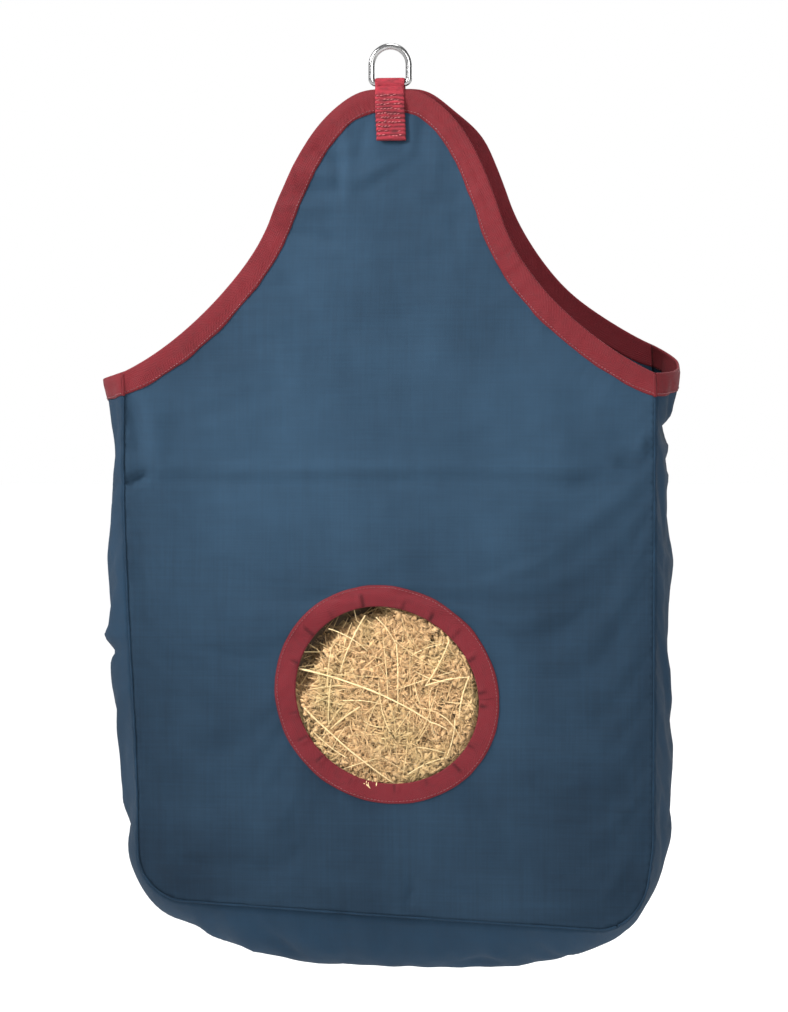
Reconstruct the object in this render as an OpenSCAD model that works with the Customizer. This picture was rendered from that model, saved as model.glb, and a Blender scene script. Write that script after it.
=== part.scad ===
// Hanging canvas hay bag. Two shaped canvas panels and one gusset strip make a
// tall bag with an open, tape-bound mouth. Hay is pulled out of a tape-bound round
// hole in the front panel. A webbing hanger clamps both panels at the top and
// carries a welded steel D-ring, in which the whole bag swings.
//
// Millimetres. +Z is up, the front of the bag faces -Y, and +X is to the right of
// someone who looks at the front. The origin is the inner top of the D-ring, the
// point that bears on the hook.

/* [D-ring] */
// Diameter of the ring's wire
wire_d = 6.5; // [5:0.5:8]
// Clear width inside the ring
ring_inner_w = 31.5; // [29:0.5:40]
// Height from the hook's seat to the middle of the straight bar
ring_drop = 34; // [31:1:35]
// Radius of the wire's middle line at the two lower corners
ring_corner_r = 4.5; // [4:0.5:6]

/* [Hanger] */
// Width of the webbing
webbing_w = 30; // [20:1:30]
// Thickness of the webbing
webbing_t = 2; // [1.5:0.1:2.5]
// Lowest edge of the webbing below the hook's seat
webbing_end = 93; // [80:1:120]
// Spacing of the stitch rows across the webbing
row_pitch = 4.5; // [3:0.5:8]

/* [Bag] */
// Half the width of each panel, from the middle to the side seam
panel_half_w = 268; // [220:1:320]
// Depth of the bag, which is the width of the gusset
depth = 140; // [100:1:180]
// Depth of the bag seam below the hook's seat
seam_drop = 877; // [780:1:1000]
// Radius of the panels' bottom corners
corner_r = 50; // [30:1:80]
// Thickness of the canvas
canvas_t = 1.5; // [1.5:0.1:2]
// How far the gusset bows out at the sides
side_bow = 16; // [6:1:24]
// How far the gusset sags below the bottom seam
bottom_sag = 40; // [20:1:50]
// Radius of the seam ridge along the panels' edges
seam_r = 1.4; // [1:0.1:1.4]
// Depth at which the panels start to lean in towards the hanger
shoulder_drop = 385; // [375:1:400]

/* [Mouth] */
// Top of the mouth curve below the hook's seat
mouth_top = 41; // [41:1:46]
// Half the width of the neck, where the curve turns from dome to flare
neck_half_w = 117; // [100:1:135]
// Depth of the neck below the hook's seat
neck_drop = 175; // [160:1:195]
// Lean of the curve at the neck, in degrees from upright
neck_lean = 19; // [12:1:26]
// Depth of the mouth's corners below the hook's seat
mouth_corner_drop = 327; // [315:1:340]
// Slope of the curve at the mouth's corners, in degrees
flare_slope = 24; // [16:1:28]
// Half the gap between the panels where the hanger clamps them
top_half_gap = 1.2; // [1.1:0.1:3]

/* [Binding tape] */
// Width of the folded tape on the mouth
tape_w = 22; // [18:1:26]
// Thickness of the tape
tape_t = 1; // [0.6:0.1:1.5]
// Radius of the sewing thread
thread_r = 0.5; // [0.4:0.1:0.8]

/* [Feed hole] */
// Radius of the clear hole
hole_r = 91; // [70:1:110]
// Width of the tape around the hole
hole_tape_w = 20; // [14:1:26]
// Depth of the hole's middle below the hook's seat
hole_drop = 647; // [600:1:700]
// Sideways offset of the hole's middle
hole_x = -3; // [-20:1:20]

/* [Hay] */
// Top of the hay below the hook's seat
hay_top_drop = 460; // [420:1:540]
// Gap between the hay and the panels
hay_gap = 10; // [8:1:16]

/* [Hidden] */
$fn = 64;

front = -1;
back = 1;
half_depth = depth / 2;
wire_r = wire_d / 2;
ring_half_w = ring_inner_w / 2 + wire_r;
bar_half = ring_half_w - ring_corner_r;
bar_clearance = 0.35;
corner_room = 0.4;
mouth_corner = [panel_half_w, -mouth_corner_drop];
gusset_top = mouth_corner_drop + 4;
shoulder_z = -shoulder_drop;
stitch_inset = 3;
// Handle lengths of the mouth's two Bezier curves
dome_pull = 60;
neck_pull_up = 84;
neck_pull_down = 65;
flare_pull = 62;
past = 20;
far = 2000;
canvas_colour = [0.17, 0.27, 0.37];
gusset_colour = [0.14, 0.23, 0.32];
tape_colour = [0.52, 0.16, 0.22];
webbing_colour = [0.62, 0.13, 0.2];
thread_colour = [0.42, 0.12, 0.17];
hay_colour = [0.78, 0.64, 0.38];

// ---- curves ----

function bezier(p, t) =
    pow(1 - t, 3) * p[0] + 3 * pow(1 - t, 2) * t * p[1]
    + 3 * (1 - t) * t * t * p[2] + pow(t, 3) * p[3];

function bezier_way(p, t) =
    3 * pow(1 - t, 2) * (p[1] - p[0]) + 6 * (1 - t) * t * (p[2] - p[1])
    + 3 * t * t * (p[3] - p[2]);

function unit(v) = v / norm(v);

function smooth(t) = let (c = min(1, max(0, t))) c * c * (3 - 2 * c);

function mirrored(points) = [for (i = [len(points) - 1 : -1 : 0]) [-points[i][0], points[i][1]]];

// Half the distance between the panels' inner faces: full below the shoulders, and
// closing to the hanger above them. The panels bend at a few heights only.
function curved_gap(z) =
    let (rise = min(1, max(0, (z - shoulder_z) / (-mouth_top - shoulder_z))))
    top_half_gap + (half_depth - top_half_gap) * (1 - pow(rise, 1.6));

bend_count = 12;
bend_step = (-mouth_top - shoulder_z) / bend_count;
function bend_z(i) = -mouth_top - i * bend_step;

function half_gap(z) =
    let (place = min(bend_count, max(0, (-mouth_top - z) / bend_step)),
         i = min(bend_count - 1, floor(place)), share = place - i)
    (1 - share) * curved_gap(bend_z(i)) + share * curved_gap(bend_z(i + 1));

function bends_between(top, bottom) =
    [for (i = [0 : bend_count]) if (bend_z(i) < top - 0.01 && bend_z(i) > bottom + 0.01) bend_z(i)];

// Half the gusset's width at a height. Its top stands straight under its binding,
// just clear of the leaning panels.
function gusset_half(z) =
    let (narrow = half_gap(tape_t - gusset_top),
         share = min(1, max(0, (z - shoulder_z) / bend_step)))
    half_depth + (narrow - half_depth) * share;

// The right half of the mouth curve: a dome from the top to the neck, then a flare.
neck = [neck_half_w, -neck_drop];
neck_way = [sin(neck_lean), -cos(neck_lean)];
flare_way = [cos(flare_slope), -sin(flare_slope)];
dome = [[0, -mouth_top], [dome_pull, -mouth_top], neck - neck_pull_up * neck_way, neck];
flare = [neck, neck + neck_pull_down * neck_way, mouth_corner - flare_pull * flare_way, mouth_corner];

function mouth_point(curve, t, inset) =
    let (way = unit(bezier_way(curve, t)))
    bezier(curve, t) + inset * [way[1], -way[0]];

function mouth_half(inset, steps = 14) = concat(
    [for (i = [0 : steps]) mouth_point(dome, i / steps, inset)],
    [for (i = [1 : steps - 1]) mouth_point(flare, i / steps, inset)],
    [[panel_half_w, mouth_corner[1] - inset]]
);

// The seam line's right half, from the mouth's corner to the middle of the bottom.
function seam_half(top) = concat(
    [for (z = concat([top], bends_between(top, shoulder_z))) [panel_half_w, z]],
    [for (i = [0 : 6]) [panel_half_w, shoulder_z + (corner_r - seam_drop - shoulder_z) * i / 6]],
    [for (a = [10 : 10 : 90])
        [panel_half_w - corner_r + corner_r * cos(a), corner_r - seam_drop - corner_r * sin(a)]],
    [for (i = [1 : 8]) [(panel_half_w - corner_r) * (1 - i / 8), -seam_drop]]
);

function seam_line(top) =
    let (right = seam_half(top), left = mirrored(right))
    concat(right, [for (i = [1 : len(left) - 1]) left[i]]);

// The unit normal that points out of the bag at a point of the seam line.
function seam_out(p) =
    let (cx = panel_half_w - corner_r, cz = corner_r - seam_drop)
    p[1] >= cz ? [sign(p[0]), 0]
    : abs(p[0]) <= cx ? [0, -1]
    : unit([p[0] - sign(p[0]) * cx, p[1] - cz]);

function bow(p) =
    side_bow + (bottom_sag - side_bow) * smooth((panel_half_w - abs(p[0])) / (0.45 * panel_half_w));

// How the bow falls off from the gusset's middle to its edges, for y as a share of
// the distance to the edge.
function bow_at(share) = 1 - share * share;

// ---- solids ----

// A slab that follows a panel across the full width, from its inner face + a to + b.
module panel_slab(side, a, b) {
    top = past - mouth_top;
    bottom = -seam_drop - past;
    heights = concat([top], bends_between(top, bottom), [bottom]);
    outer = [for (z = heights) [side * (half_gap(z) + b), z]];
    inner = [for (i = [len(heights) - 1 : -1 : 0]) [side * (half_gap(heights[i]) + a), heights[i]]];
    rotate([90, 0, 90])
        linear_extrude(far, center = true)
            polygon(concat(outer, inner));
}

// A prism along Y through the whole bag, from an outline seen from the front.
module front_prism(outline) {
    rotate([90, 0, 0])
        linear_extrude(far, center = true)
            polygon(outline);
}

module panel(side) {
    mouth = mouth_half(tape_t);
    seam = seam_half(mouth_corner[1] - tape_t);
    right = concat(mouth, [for (i = [1 : len(seam) - 1]) seam[i]]);
    left = mirrored(right);
    outline = concat(right, [for (i = [1 : len(left) - 2]) left[i]]);
    intersection() {
        panel_slab(side, 0, canvas_t);
        front_prism(outline);
    }
}

module mouth_binding(side) {
    outer = mouth_half(0);
    inner = mouth_half(tape_w);
    count = len(inner);
    band = concat(outer,
                  [for (i = [count - 1 : -1 : 0]) inner[i]],
                  [for (i = [1 : count - 1]) [-inner[i][0], inner[i][1]]],
                  [for (i = [count - 1 : -1 : 1]) [-outer[i][0], outer[i][1]]]);
    difference() {
        intersection() {
            panel_slab(side, -tape_t, canvas_t + tape_t);
            front_prism(band);
        }
        panel(side);
        intersection() {
            panel_slab(side, -tape_t - past, 0);
            mouth_corners();
        }
    }
}

// Where the gusset's ends need the room of a mouth binding's inner layer.
module mouth_corners() {
    for (x = [-panel_half_w, panel_half_w])
        translate([x, 0, -mouth_corner_drop - tape_w])
            cube([2 * (canvas_t + tape_t + corner_room), far, 4 * tape_w], center = true);
}

// A round tube along points in space. across is a direction that the path never takes.
module tube(path, r, sides = 6, across = [0, 1, 0]) {
    n = len(path);
    rings = [for (i = [0 : n - 1])
        let (way = unit(path[min(i + 1, n - 1)] - path[max(i - 1, 0)]),
             u = unit(cross(way, across)), v = cross(way, u))
        for (j = [0 : sides - 1])
            path[i] + r * (cos(360 * j / sides) * u + sin(360 * j / sides) * v)];
    walls = [for (i = [0 : n - 2]) for (j = [0 : sides - 1])
        let (k = (j + 1) % sides)
        [i * sides + j, i * sides + k, (i + 1) * sides + k, (i + 1) * sides + j]];
    caps = [[for (j = [sides - 1 : -1 : 0]) j], [for (j = [0 : sides - 1]) (n - 1) * sides + j]];
    polyhedron(rings, concat(walls, caps), convexity = 6);
}

// ---- ring and hanger ----

module d_ring() {
    color("silver")
        rotate([90, 0, 0])
            ring_wire();
}

// The ring lying flat, with its straight bar towards -Y.
module ring_wire() {
    arch_z = wire_r - ring_half_w;
    corner_z = ring_corner_r - ring_drop;
    translate([0, arch_z])
        rotate_extrude(angle = 180)
            translate([ring_half_w, 0])
                circle(wire_r);
    for (side = [-1, 1]) {
        translate([side * ring_half_w, corner_z])
            rotate([-90, 0, 0])
                cylinder(r = wire_r, h = arch_z - corner_z);
        translate([side * bar_half, corner_z])
            rotate([0, 0, side > 0 ? -90 : 180])
                rotate_extrude(angle = 90)
                    translate([ring_corner_r, 0])
                        circle(wire_r);
    }
    translate([-bar_half, -ring_drop])
        rotate([0, 90, 0])
            cylinder(r = wire_r, h = 2 * bar_half);
}

// The webbing's middle profile, seen along the bar. Each leg lies on the mouth
// binding, and below that binding on the panel itself.
function leg_inner(z, under) = half_gap(z) + canvas_t + under;

function leg_outer(z) = leg_inner(z, tape_t) + webbing_t;

module hanger_webbing() {
    eye_r = wire_r + bar_clearance;
    seat = -mouth_top;
    foot = -webbing_end;
    tape_edge = -mouth_top - tape_w - 4;
    blend = 0.3;
    throat = min(eye_r, leg_inner(seat, tape_t)) - blend;
    inside = concat(
        [[throat, -ring_drop - 1], [throat, seat + blend]],
        [for (z = concat([seat], bends_between(seat, tape_edge), [tape_edge])) [leg_inner(z, tape_t), z]],
        [for (z = concat([tape_edge], bends_between(tape_edge, foot), [foot])) [leg_inner(z, 0), z]]);
    outside = concat(
        [for (z = concat([foot], [for (i = [bend_count : -1 : 0])
            if (bend_z(i) > foot && bend_z(i) < seat - 0.01) bend_z(i)], [seat])) [leg_outer(z), z]],
        [[eye_r + webbing_t - blend, -ring_drop]]);
    half = concat(inside, outside);
    count = len(half);
    profile = concat(half, [for (i = [count - 1 : -1 : 0]) [-half[i][0], half[i][1]]]);
    color(webbing_colour)
        difference() {
            union() {
                translate([0, 0, -ring_drop])
                    rotate([0, 90, 0])
                        cylinder(r = eye_r + webbing_t, h = webbing_w, center = true);
                rotate([90, 0, 90])
                    linear_extrude(webbing_w, center = true)
                        polygon(profile);
            }
            translate([0, 0, -ring_drop])
                rotate([0, 90, 0])
                    cylinder(r = eye_r, h = webbing_w + past, center = true);
        }
}

module hanger_stitching() {
    color(thread_colour)
        for (side = [front, back])
            for (z = [-webbing_end + stitch_inset : row_pitch : -mouth_top - stitch_inset])
                translate([0, side * leg_outer(z), z])
                    rotate([0, 90, 0])
                        cylinder(r = thread_r, h = webbing_w - 2 * stitch_inset, center = true);
}

// ---- canvas ----

module front_panel() {
    color(canvas_colour)
        difference() {
            panel(front);
            translate([hole_x, 0, -hole_drop])
                rotate([90, 0, 0])
                    cylinder(r = hole_r + tape_t, h = half_depth + past);
        }
}

module back_panel() {
    color(canvas_colour)
        panel(back);
}

// One strip from mouth corner to mouth corner, bowed outwards between the panels.
module gusset_strip() {
    line = seam_line(-gusset_top);
    across = 10;
    n = len(line);
    shares = [for (j = [0 : across]) 2 * j / across - 1];
    wide = len(shares);
    function skin(inset) = [for (p = line) for (share = shares)
        let (q = p + seam_out(p) * (bow(p) * bow_at(share) - inset))
        [q[0], share * gusset_half(p[1]), q[1]]];
    outer_walls = [for (i = [0 : n - 2]) for (j = [0 : across - 1])
        let (a = i * wide + j) [a, a + 1, a + 1 + wide, a + wide]];
    inner = n * wide;
    inner_walls = [for (f = outer_walls) [for (k = [3 : -1 : 0]) f[k] + inner]];
    edges = [for (i = [0 : n - 2])
        for (e = [[i * wide, 1], [i * wide + across, -1]])
            let (a = e[0], b = e[0] + wide)
            e[1] > 0 ? [a, b, b + inner, a + inner] : [b, a, a + inner, b + inner]];
    ends = [for (j = [0 : across - 1])
        for (e = [[j, 1], [(n - 1) * wide + j, -1]])
            let (a = e[0], b = e[0] + 1)
            e[1] > 0 ? [b, a, a + inner, b + inner] : [a, b, b + inner, a + inner]];
    color(gusset_colour)
        polyhedron(concat(skin(0), skin(canvas_t)),
                   concat(outer_walls, inner_walls, edges, ends), convexity = 8);
}

module seam(side) {
    color(gusset_colour)
        tube([for (p = seam_line(-gusset_top - tape_w)) [p[0], side * half_gap(p[1]), p[1]]],
             seam_r, 8);
}

module front_seam() seam(front);

module back_seam() seam(back);

// ---- bindings ----

module front_mouth_binding() {
    color(tape_colour)
        mouth_binding(front);
}

module back_mouth_binding() {
    color(tape_colour)
        mouth_binding(back);
}

// The gusset's top edge seen from above, as a band from offset a to offset b.
function gusset_band(side, a, b) =
    let (reach = gusset_half(-gusset_top), shares = [for (j = [0 : 10]) j / 5 - 1])
    concat([for (share = shares)
                [side * (panel_half_w + side_bow * bow_at(share) + b), share * reach]],
           [for (j = [10 : -1 : 0])
                [side * (panel_half_w + side_bow * bow_at(shares[j]) + a), shares[j] * reach]]);

module gusset_binding(side) {
    color(tape_colour)
        translate([0, 0, -gusset_top - tape_w])
            difference() {
                linear_extrude(tape_w + tape_t)
                    polygon(gusset_band(side, -canvas_t - tape_t, tape_t));
                linear_extrude(tape_w)
                    polygon(gusset_band(side, -canvas_t, 0));
            }
}

module left_gusset_binding() gusset_binding(-1);

module right_gusset_binding() gusset_binding(1);

module feed_hole_binding() {
    color(tape_colour)
        translate([hole_x, -half_depth, -hole_drop])
            rotate([90, 0, 0])
                difference() {
                    translate([0, 0, -tape_t])
                        cylinder(r = hole_r + hole_tape_w, h = canvas_t + 2 * tape_t);
                    translate([0, 0, -past])
                        cylinder(r = hole_r, h = 2 * past);
                    difference() {
                        cylinder(r = hole_r + hole_tape_w + past, h = canvas_t);
                        translate([0, 0, -past])
                            cylinder(r = hole_r + tape_t, h = 2 * past);
                    }
                }
}

// ---- threads ----

module mouth_stitching(side) {
    right = [for (p = mouth_half(tape_w - stitch_inset)) if (p[0] < panel_half_w - stitch_inset) p];
    row = concat(mirrored(right), [for (i = [1 : len(right) - 1]) right[i]]);
    color(thread_colour)
        tube([for (p = row) [p[0], side * (half_gap(p[1]) + canvas_t + tape_t), p[1]]], thread_r);
}

module front_mouth_stitching() mouth_stitching(front);

module back_mouth_stitching() mouth_stitching(back);

module gusset_stitching(side) {
    color(thread_colour)
        tube([for (j = [0 : 20])
            let (share = 0.96 * (j / 10 - 1))
            [side * (panel_half_w + side_bow * bow_at(share) + tape_t),
             share * gusset_half(-gusset_top), -gusset_top - tape_w + stitch_inset]],
            thread_r, across = [0, 0, 1]);
}

module left_gusset_stitching() gusset_stitching(-1);

module right_gusset_stitching() gusset_stitching(1);

module feed_hole_stitching() {
    color(thread_colour)
        translate([hole_x, -half_depth - canvas_t - tape_t, -hole_drop])
            rotate([90, 0, 0])
                rotate_extrude()
                    translate([hole_r + hole_tape_w - stitch_inset, 0])
                        circle(thread_r, $fn = 16);
}

// ---- hay ----

// A loosely packed mass: full against the panels in the middle, rounded at the top
// and following the sagging gusset at the bottom.
module hay_fill() {
    full_a = panel_half_w - 12;
    full_b = half_depth - hay_gap;
    base = seam_drop + bottom_sag - 14;
    base_round = 83;
    crown_round = 70;
    low = [for (i = [0 : 8]) let (q = 0.97 * (1 - i / 8))
        [-base + base_round * (1 - q), full_a * (1 - 0.5 * pow(q, 2.2)), full_b * sqrt(1 - pow(q, 4))]];
    high = [for (i = [0 : 8]) let (q = 0.95 * i / 8)
        [-hay_top_drop - crown_round * (1 - q), full_a * (1 - 0.3 * pow(q, 3)),
         full_b * sqrt(1 - pow(q, 3))]];
    levels = concat(low, high);
    sides = 40;
    n = len(levels);
    points = [for (l = levels) for (j = [0 : sides - 1])
        let (a = 360 * j / sides, c = cos(a), s = sin(a))
        [l[1] * sign(c) * sqrt(abs(c)), l[2] * sign(s) * sqrt(abs(s)), l[0]]];
    walls = [for (i = [0 : n - 2]) for (j = [0 : sides - 1])
        let (k = (j + 1) % sides)
        [i * sides + j, (i + 1) * sides + j, (i + 1) * sides + k, i * sides + k]];
    caps = [[for (j = [0 : sides - 1]) j], [for (j = [sides - 1 : -1 : 0]) (n - 1) * sides + j]];
    color(hay_colour)
        polyhedron(points, concat(walls, caps), convexity = 4);
}

d_ring();
hanger_webbing();
hanger_stitching();
front_panel();
back_panel();
gusset_strip();
front_seam();
back_seam();
front_mouth_binding();
back_mouth_binding();
left_gusset_binding();
right_gusset_binding();
feed_hole_binding();
front_mouth_stitching();
back_mouth_stitching();
left_gusset_stitching();
right_gusset_stitching();
feed_hole_stitching();
hay_fill();
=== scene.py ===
"""Looks of the hanging canvas hay bag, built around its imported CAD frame. Metres throughout."""

import math

import bpy
import numpy as np
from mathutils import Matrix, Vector, geometry, kdtree
from mathutils.bvhtree import BVHTree


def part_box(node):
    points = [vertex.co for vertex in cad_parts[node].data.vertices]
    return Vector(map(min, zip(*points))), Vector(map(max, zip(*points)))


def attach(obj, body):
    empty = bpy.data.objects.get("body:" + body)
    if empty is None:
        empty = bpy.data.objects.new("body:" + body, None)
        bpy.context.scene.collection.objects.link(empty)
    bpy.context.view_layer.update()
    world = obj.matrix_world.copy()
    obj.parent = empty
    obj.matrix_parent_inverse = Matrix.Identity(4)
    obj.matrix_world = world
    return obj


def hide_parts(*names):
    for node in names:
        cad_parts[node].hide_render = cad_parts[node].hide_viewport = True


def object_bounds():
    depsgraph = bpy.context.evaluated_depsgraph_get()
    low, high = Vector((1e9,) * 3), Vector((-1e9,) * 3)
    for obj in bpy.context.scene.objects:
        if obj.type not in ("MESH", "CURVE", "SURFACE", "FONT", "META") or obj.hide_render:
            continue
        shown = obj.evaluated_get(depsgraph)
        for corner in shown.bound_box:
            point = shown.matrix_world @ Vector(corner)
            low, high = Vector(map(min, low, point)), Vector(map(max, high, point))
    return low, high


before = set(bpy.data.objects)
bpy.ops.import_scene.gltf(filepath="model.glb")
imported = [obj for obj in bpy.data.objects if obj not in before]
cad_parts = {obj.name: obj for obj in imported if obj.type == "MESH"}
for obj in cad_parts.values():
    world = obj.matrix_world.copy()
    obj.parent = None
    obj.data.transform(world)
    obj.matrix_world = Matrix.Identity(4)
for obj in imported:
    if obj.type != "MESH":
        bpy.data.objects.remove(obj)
cad_low, cad_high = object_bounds()

# ---- sizes, from the frame ----

MM = 0.001
FRONT, BACK = -1, 1
CANVAS_T = 1.2 * MM
TAPE_T = 0.8 * MM
PLATE_T = 1.5 * MM  # the frame's plates that stand in for canvas

panel_low, panel_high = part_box("back_panel")
hole_low, hole_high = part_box("feed_hole_binding")
hay_low, hay_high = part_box("hay_fill")
gusset_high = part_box("gusset_strip")[1]
tape_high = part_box("front_mouth_binding")[1]
strap_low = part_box("hanger_webbing")[0]
ring_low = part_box("d_ring")[0]

HALF_W = panel_high.x
HALF_DEPTH = panel_high.y - PLATE_T / 2
SEAM_Z = panel_low.z
TOP_Z = tape_high.z - 1 * MM
CORNER_Z = gusset_high.z + 3 * MM
CORNER_R = 50 * MM
SHOULDER_Z = -385 * MM
TOP_GAP = 1.9 * MM
TAPE_W = 22 * MM
HOLE_X = (hole_low.x + hole_high.x) / 2
HOLE_Z = (hole_low.z + hole_high.z) / 2
HOLE_TAPE_W = 20 * MM
HOLE_R = (hole_high.x - hole_low.x) / 2 - HOLE_TAPE_W
STRAP_T = 2.0 * MM
STRAP_HALF_W = 15 * MM
WIRE_R = 3.25 * MM
BAR_CLEARANCE = 0.35 * MM

# The mouth curve: a dome from the top to the neck, then a flare to the corner.
NECK = np.array([117, -175]) * MM
NECK_LEAN = math.radians(19)
FLARE_SLOPE = math.radians(24)
DOME_PULL = 62 * MM
NECK_PULL_UP = 84 * MM
NECK_PULL_DOWN = 65 * MM
FLARE_PULL = 62 * MM

# A point well inside the filled bag, which the gusset and the seams turn away from.
BAG_MIDDLE = np.array([0, 0, -0.6])

# How far the filled cloth may stand out in front of the seams and behind them.
FRONT_ROOM = 8 * MM
BACK_ROOM = 5 * MM

# How far the hay pushes the panels out, and drags the feed hole down and to the right.
HAY_PUSH = 2.5 * MM
HOLE_DRAG_X = 4.5 * MM
HOLE_DRAG_Z = -7.5 * MM

# The heights in the lists of folds are multiplied by these.
PANEL_FOLD_RISE = 1.5
SIDE_FOLD_RISE = 1.4
BELLY_FOLD_RISE = 2.0

CELL = 5 * MM
STITCH_PITCH = 3.6 * MM
STITCH_GAP = 0.22
THREAD_R = 0.45 * MM
CLOTH_FRAMES = 16


# ---- small helpers ----

def smooth(t):
    """Eases from 0 to 1 as t goes from 0 to 1."""
    t = np.clip(t, 0, 1)
    return t * t * (3 - 2 * t)


def unit(v):
    """The rows of v at length 1."""
    return v / np.maximum(np.linalg.norm(v, axis=-1, keepdims=True), 1e-12)


def run_length(points):
    """How far along the line each of its points lies."""
    return np.concatenate([[0], np.cumsum(np.linalg.norm(np.diff(points, axis=0), axis=1))])


def along_line(points, wanted):
    """The places at the wanted distances along a line."""
    run = run_length(points)
    return np.stack([np.interp(wanted, run, column) for column in points.T], axis=-1)


def resample(points, spacing):
    """A line's points, evenly spaced, its first and last kept."""
    length = run_length(points)[-1]
    count = max(2, int(round(length / spacing)) + 1)
    return along_line(points, np.linspace(0, length, count))


def ripples(p, q, wavelength, seed, count=9):
    """A smooth random surface over p and q, about -1 to 1, with a typical wavelength."""
    rng = np.random.default_rng(seed)
    total = np.zeros(np.broadcast(p, q).shape)
    for _ in range(count):
        angle, phase = rng.uniform(0, 2 * math.pi, 2)
        k = 2 * math.pi / (wavelength * rng.uniform(0.7, 1.5))
        total += np.cos(k * (p * math.cos(angle) + q * math.sin(angle)) + phase)
    return total / math.sqrt(2 * count)


def folds(p, q, lines):
    """Soft ridges, or valleys where the height is negative, lower at their ends.

    Each row of lines has the fold's two ends, its width and its height, in millimetres.
    """
    total = np.zeros(np.broadcast(p, q).shape)
    for p_start, q_start, p_end, q_end, width, height in np.array(lines) * MM:
        way_p, way_q = p_end - p_start, q_end - q_start
        t = np.clip(((p - p_start) * way_p + (q - q_start) * way_q) / (way_p ** 2 + way_q ** 2), 0, 1)
        away = (p - p_start - t * way_p) ** 2 + (q - q_start - t * way_q) ** 2
        total += height * (0.3 + 0.7 * np.sin(math.pi * t)) * np.exp(-away / width ** 2)
    return total


def grid_faces(rows, columns, closed_rows=False, closed_columns=False):
    """Quads over points stored row by row. A closed direction joins its last line to its first."""
    faces = []
    for i in range(rows if closed_rows else rows - 1):
        here, there = i * columns, (i + 1) % rows * columns
        for j in range(columns if closed_columns else columns - 1):
            k = (j + 1) % columns
            faces.append((here + j, here + k, there + k, there + j))
    return faces


def end_caps(rows, sides):
    """The two faces that close a tube's ends."""
    return [tuple(range(sides))[::-1], tuple((rows - 1) * sides + j for j in range(sides))]


def joined(parts):
    """The points and faces of several parts as one."""
    points, faces = [], []
    for more, shape in parts:
        faces += [tuple(len(points) + corner for corner in face) for face in shape]
        points += more.tolist()
    return np.array(points), faces


# ---- the flat cut of a panel ----

def bezier(points, t):
    """A cubic Bezier curve at each t."""
    t = t[:, None]
    a, b, c, d = points
    return (1 - t) ** 3 * a + 3 * (1 - t) ** 2 * t * b + 3 * (1 - t) * t * t * c + t ** 3 * d


def mouth_line(spacing):
    """The mouth curve in the flat cut, from the left corner over the top to the right corner."""
    top = np.array([0, TOP_Z])
    corner = np.array([HALF_W, CORNER_Z])
    neck_way = np.array([math.sin(NECK_LEAN), -math.cos(NECK_LEAN)])
    flare_way = np.array([math.cos(FLARE_SLOPE), -math.sin(FLARE_SLOPE)])
    t = np.linspace(0, 1, 60)
    dome = bezier((top, top + [DOME_PULL, 0], NECK - NECK_PULL_UP * neck_way, NECK), t)
    flare = bezier((NECK, NECK + NECK_PULL_DOWN * neck_way, corner - FLARE_PULL * flare_way, corner), t)
    right = np.concatenate([dome, flare[1:]])
    left = right[:0:-1] * [-1, 1]
    return resample(np.concatenate([left, right]), spacing)


def seam_path(spacing):
    """The seam in the flat cut, from the left corner down, along the bottom and up to the right corner."""
    turn = np.linspace(0, math.pi / 2, 16)
    cx, cz = HALF_W - CORNER_R, SEAM_Z + CORNER_R
    right = np.stack([cx + CORNER_R * np.sin(turn), cz - CORNER_R * np.cos(turn)], axis=1)
    left = right[::-1] * [-1, 1]
    top = np.array([[HALF_W, CORNER_Z]])
    return resample(np.concatenate([top * [-1, 1], left, right, top]), spacing)


def hole_line(spacing, radius=HOLE_R + 2 * MM):
    """The feed hole's edge in the flat cut. It is pulled a little out of round, towards the upper left."""
    count = int(2 * math.pi * radius / spacing)
    a = np.arange(count) * 2 * math.pi / count
    pull = a - math.radians(150)
    r = radius * (1 + 0.032 * np.cos(2 * pull) + 0.014 * np.cos(pull) + 0.006 * np.cos(3 * a + 0.6))
    return np.stack([HOLE_X + r * np.cos(a), HOLE_Z + r * np.sin(a)], axis=1)


def fill_with_triangles(outline, hole, spacing):
    """Evenly spaced points and triangles inside an outline and outside a hole."""
    loops = [outline] if hole is None else [outline, hole]
    edge_points = np.concatenate(loops)
    edges, start = [], 0
    for loop in loops:
        n = len(loop)
        edges += [(start + i, start + (i + 1) % n) for i in range(n)]
        start += n
    tree = kdtree.KDTree(len(edge_points))
    for i, (a, b) in enumerate(edge_points):
        tree.insert((a, b, 0), i)
    tree.balance()
    low, high = outline.min(0), outline.max(0)
    rise = spacing * math.sqrt(3) / 2
    inner = []
    for j, b in enumerate(np.arange(low[1], high[1], rise)):
        for a in np.arange(low[0] + (j % 2) * spacing / 2, high[0], spacing):
            inner.append((a, b))
    inner = np.array(inner)
    keep = inside(inner, outline)
    if hole is not None:
        keep &= ~inside(inner, hole)
    inner = np.array([p for p in inner[keep] if tree.find((p[0], p[1], 0))[2] > 0.6 * spacing])
    points = [Vector(p) for p in np.concatenate([edge_points, inner])]
    made = geometry.delaunay_2d_cdt(points, edges, [], 1, 1e-7)
    flat = np.array([list(p) for p in made[0]])
    faces = np.array([list(f) for f in made[2]])
    if hole is not None:
        faces = faces[~inside(flat[faces].mean(axis=1), hole)]
    return flat, faces


def inside(points, loop):
    """Which points lie inside a closed loop."""
    x, z = points[:, 0], points[:, 1]
    result = np.zeros(len(points), bool)
    for (x0, z0), (x1, z1) in zip(loop, np.roll(loop, -1, axis=0)):
        if z0 != z1:
            crosses = (z0 > z) != (z1 > z)
            result ^= crosses & (x < (x1 - x0) * (z - z0) / (z1 - z0) + x0)
    return result


MOUTH = mouth_line(4 * MM)
SEAM = seam_path(5 * MM)


# ---- how the bag hangs ----

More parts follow.
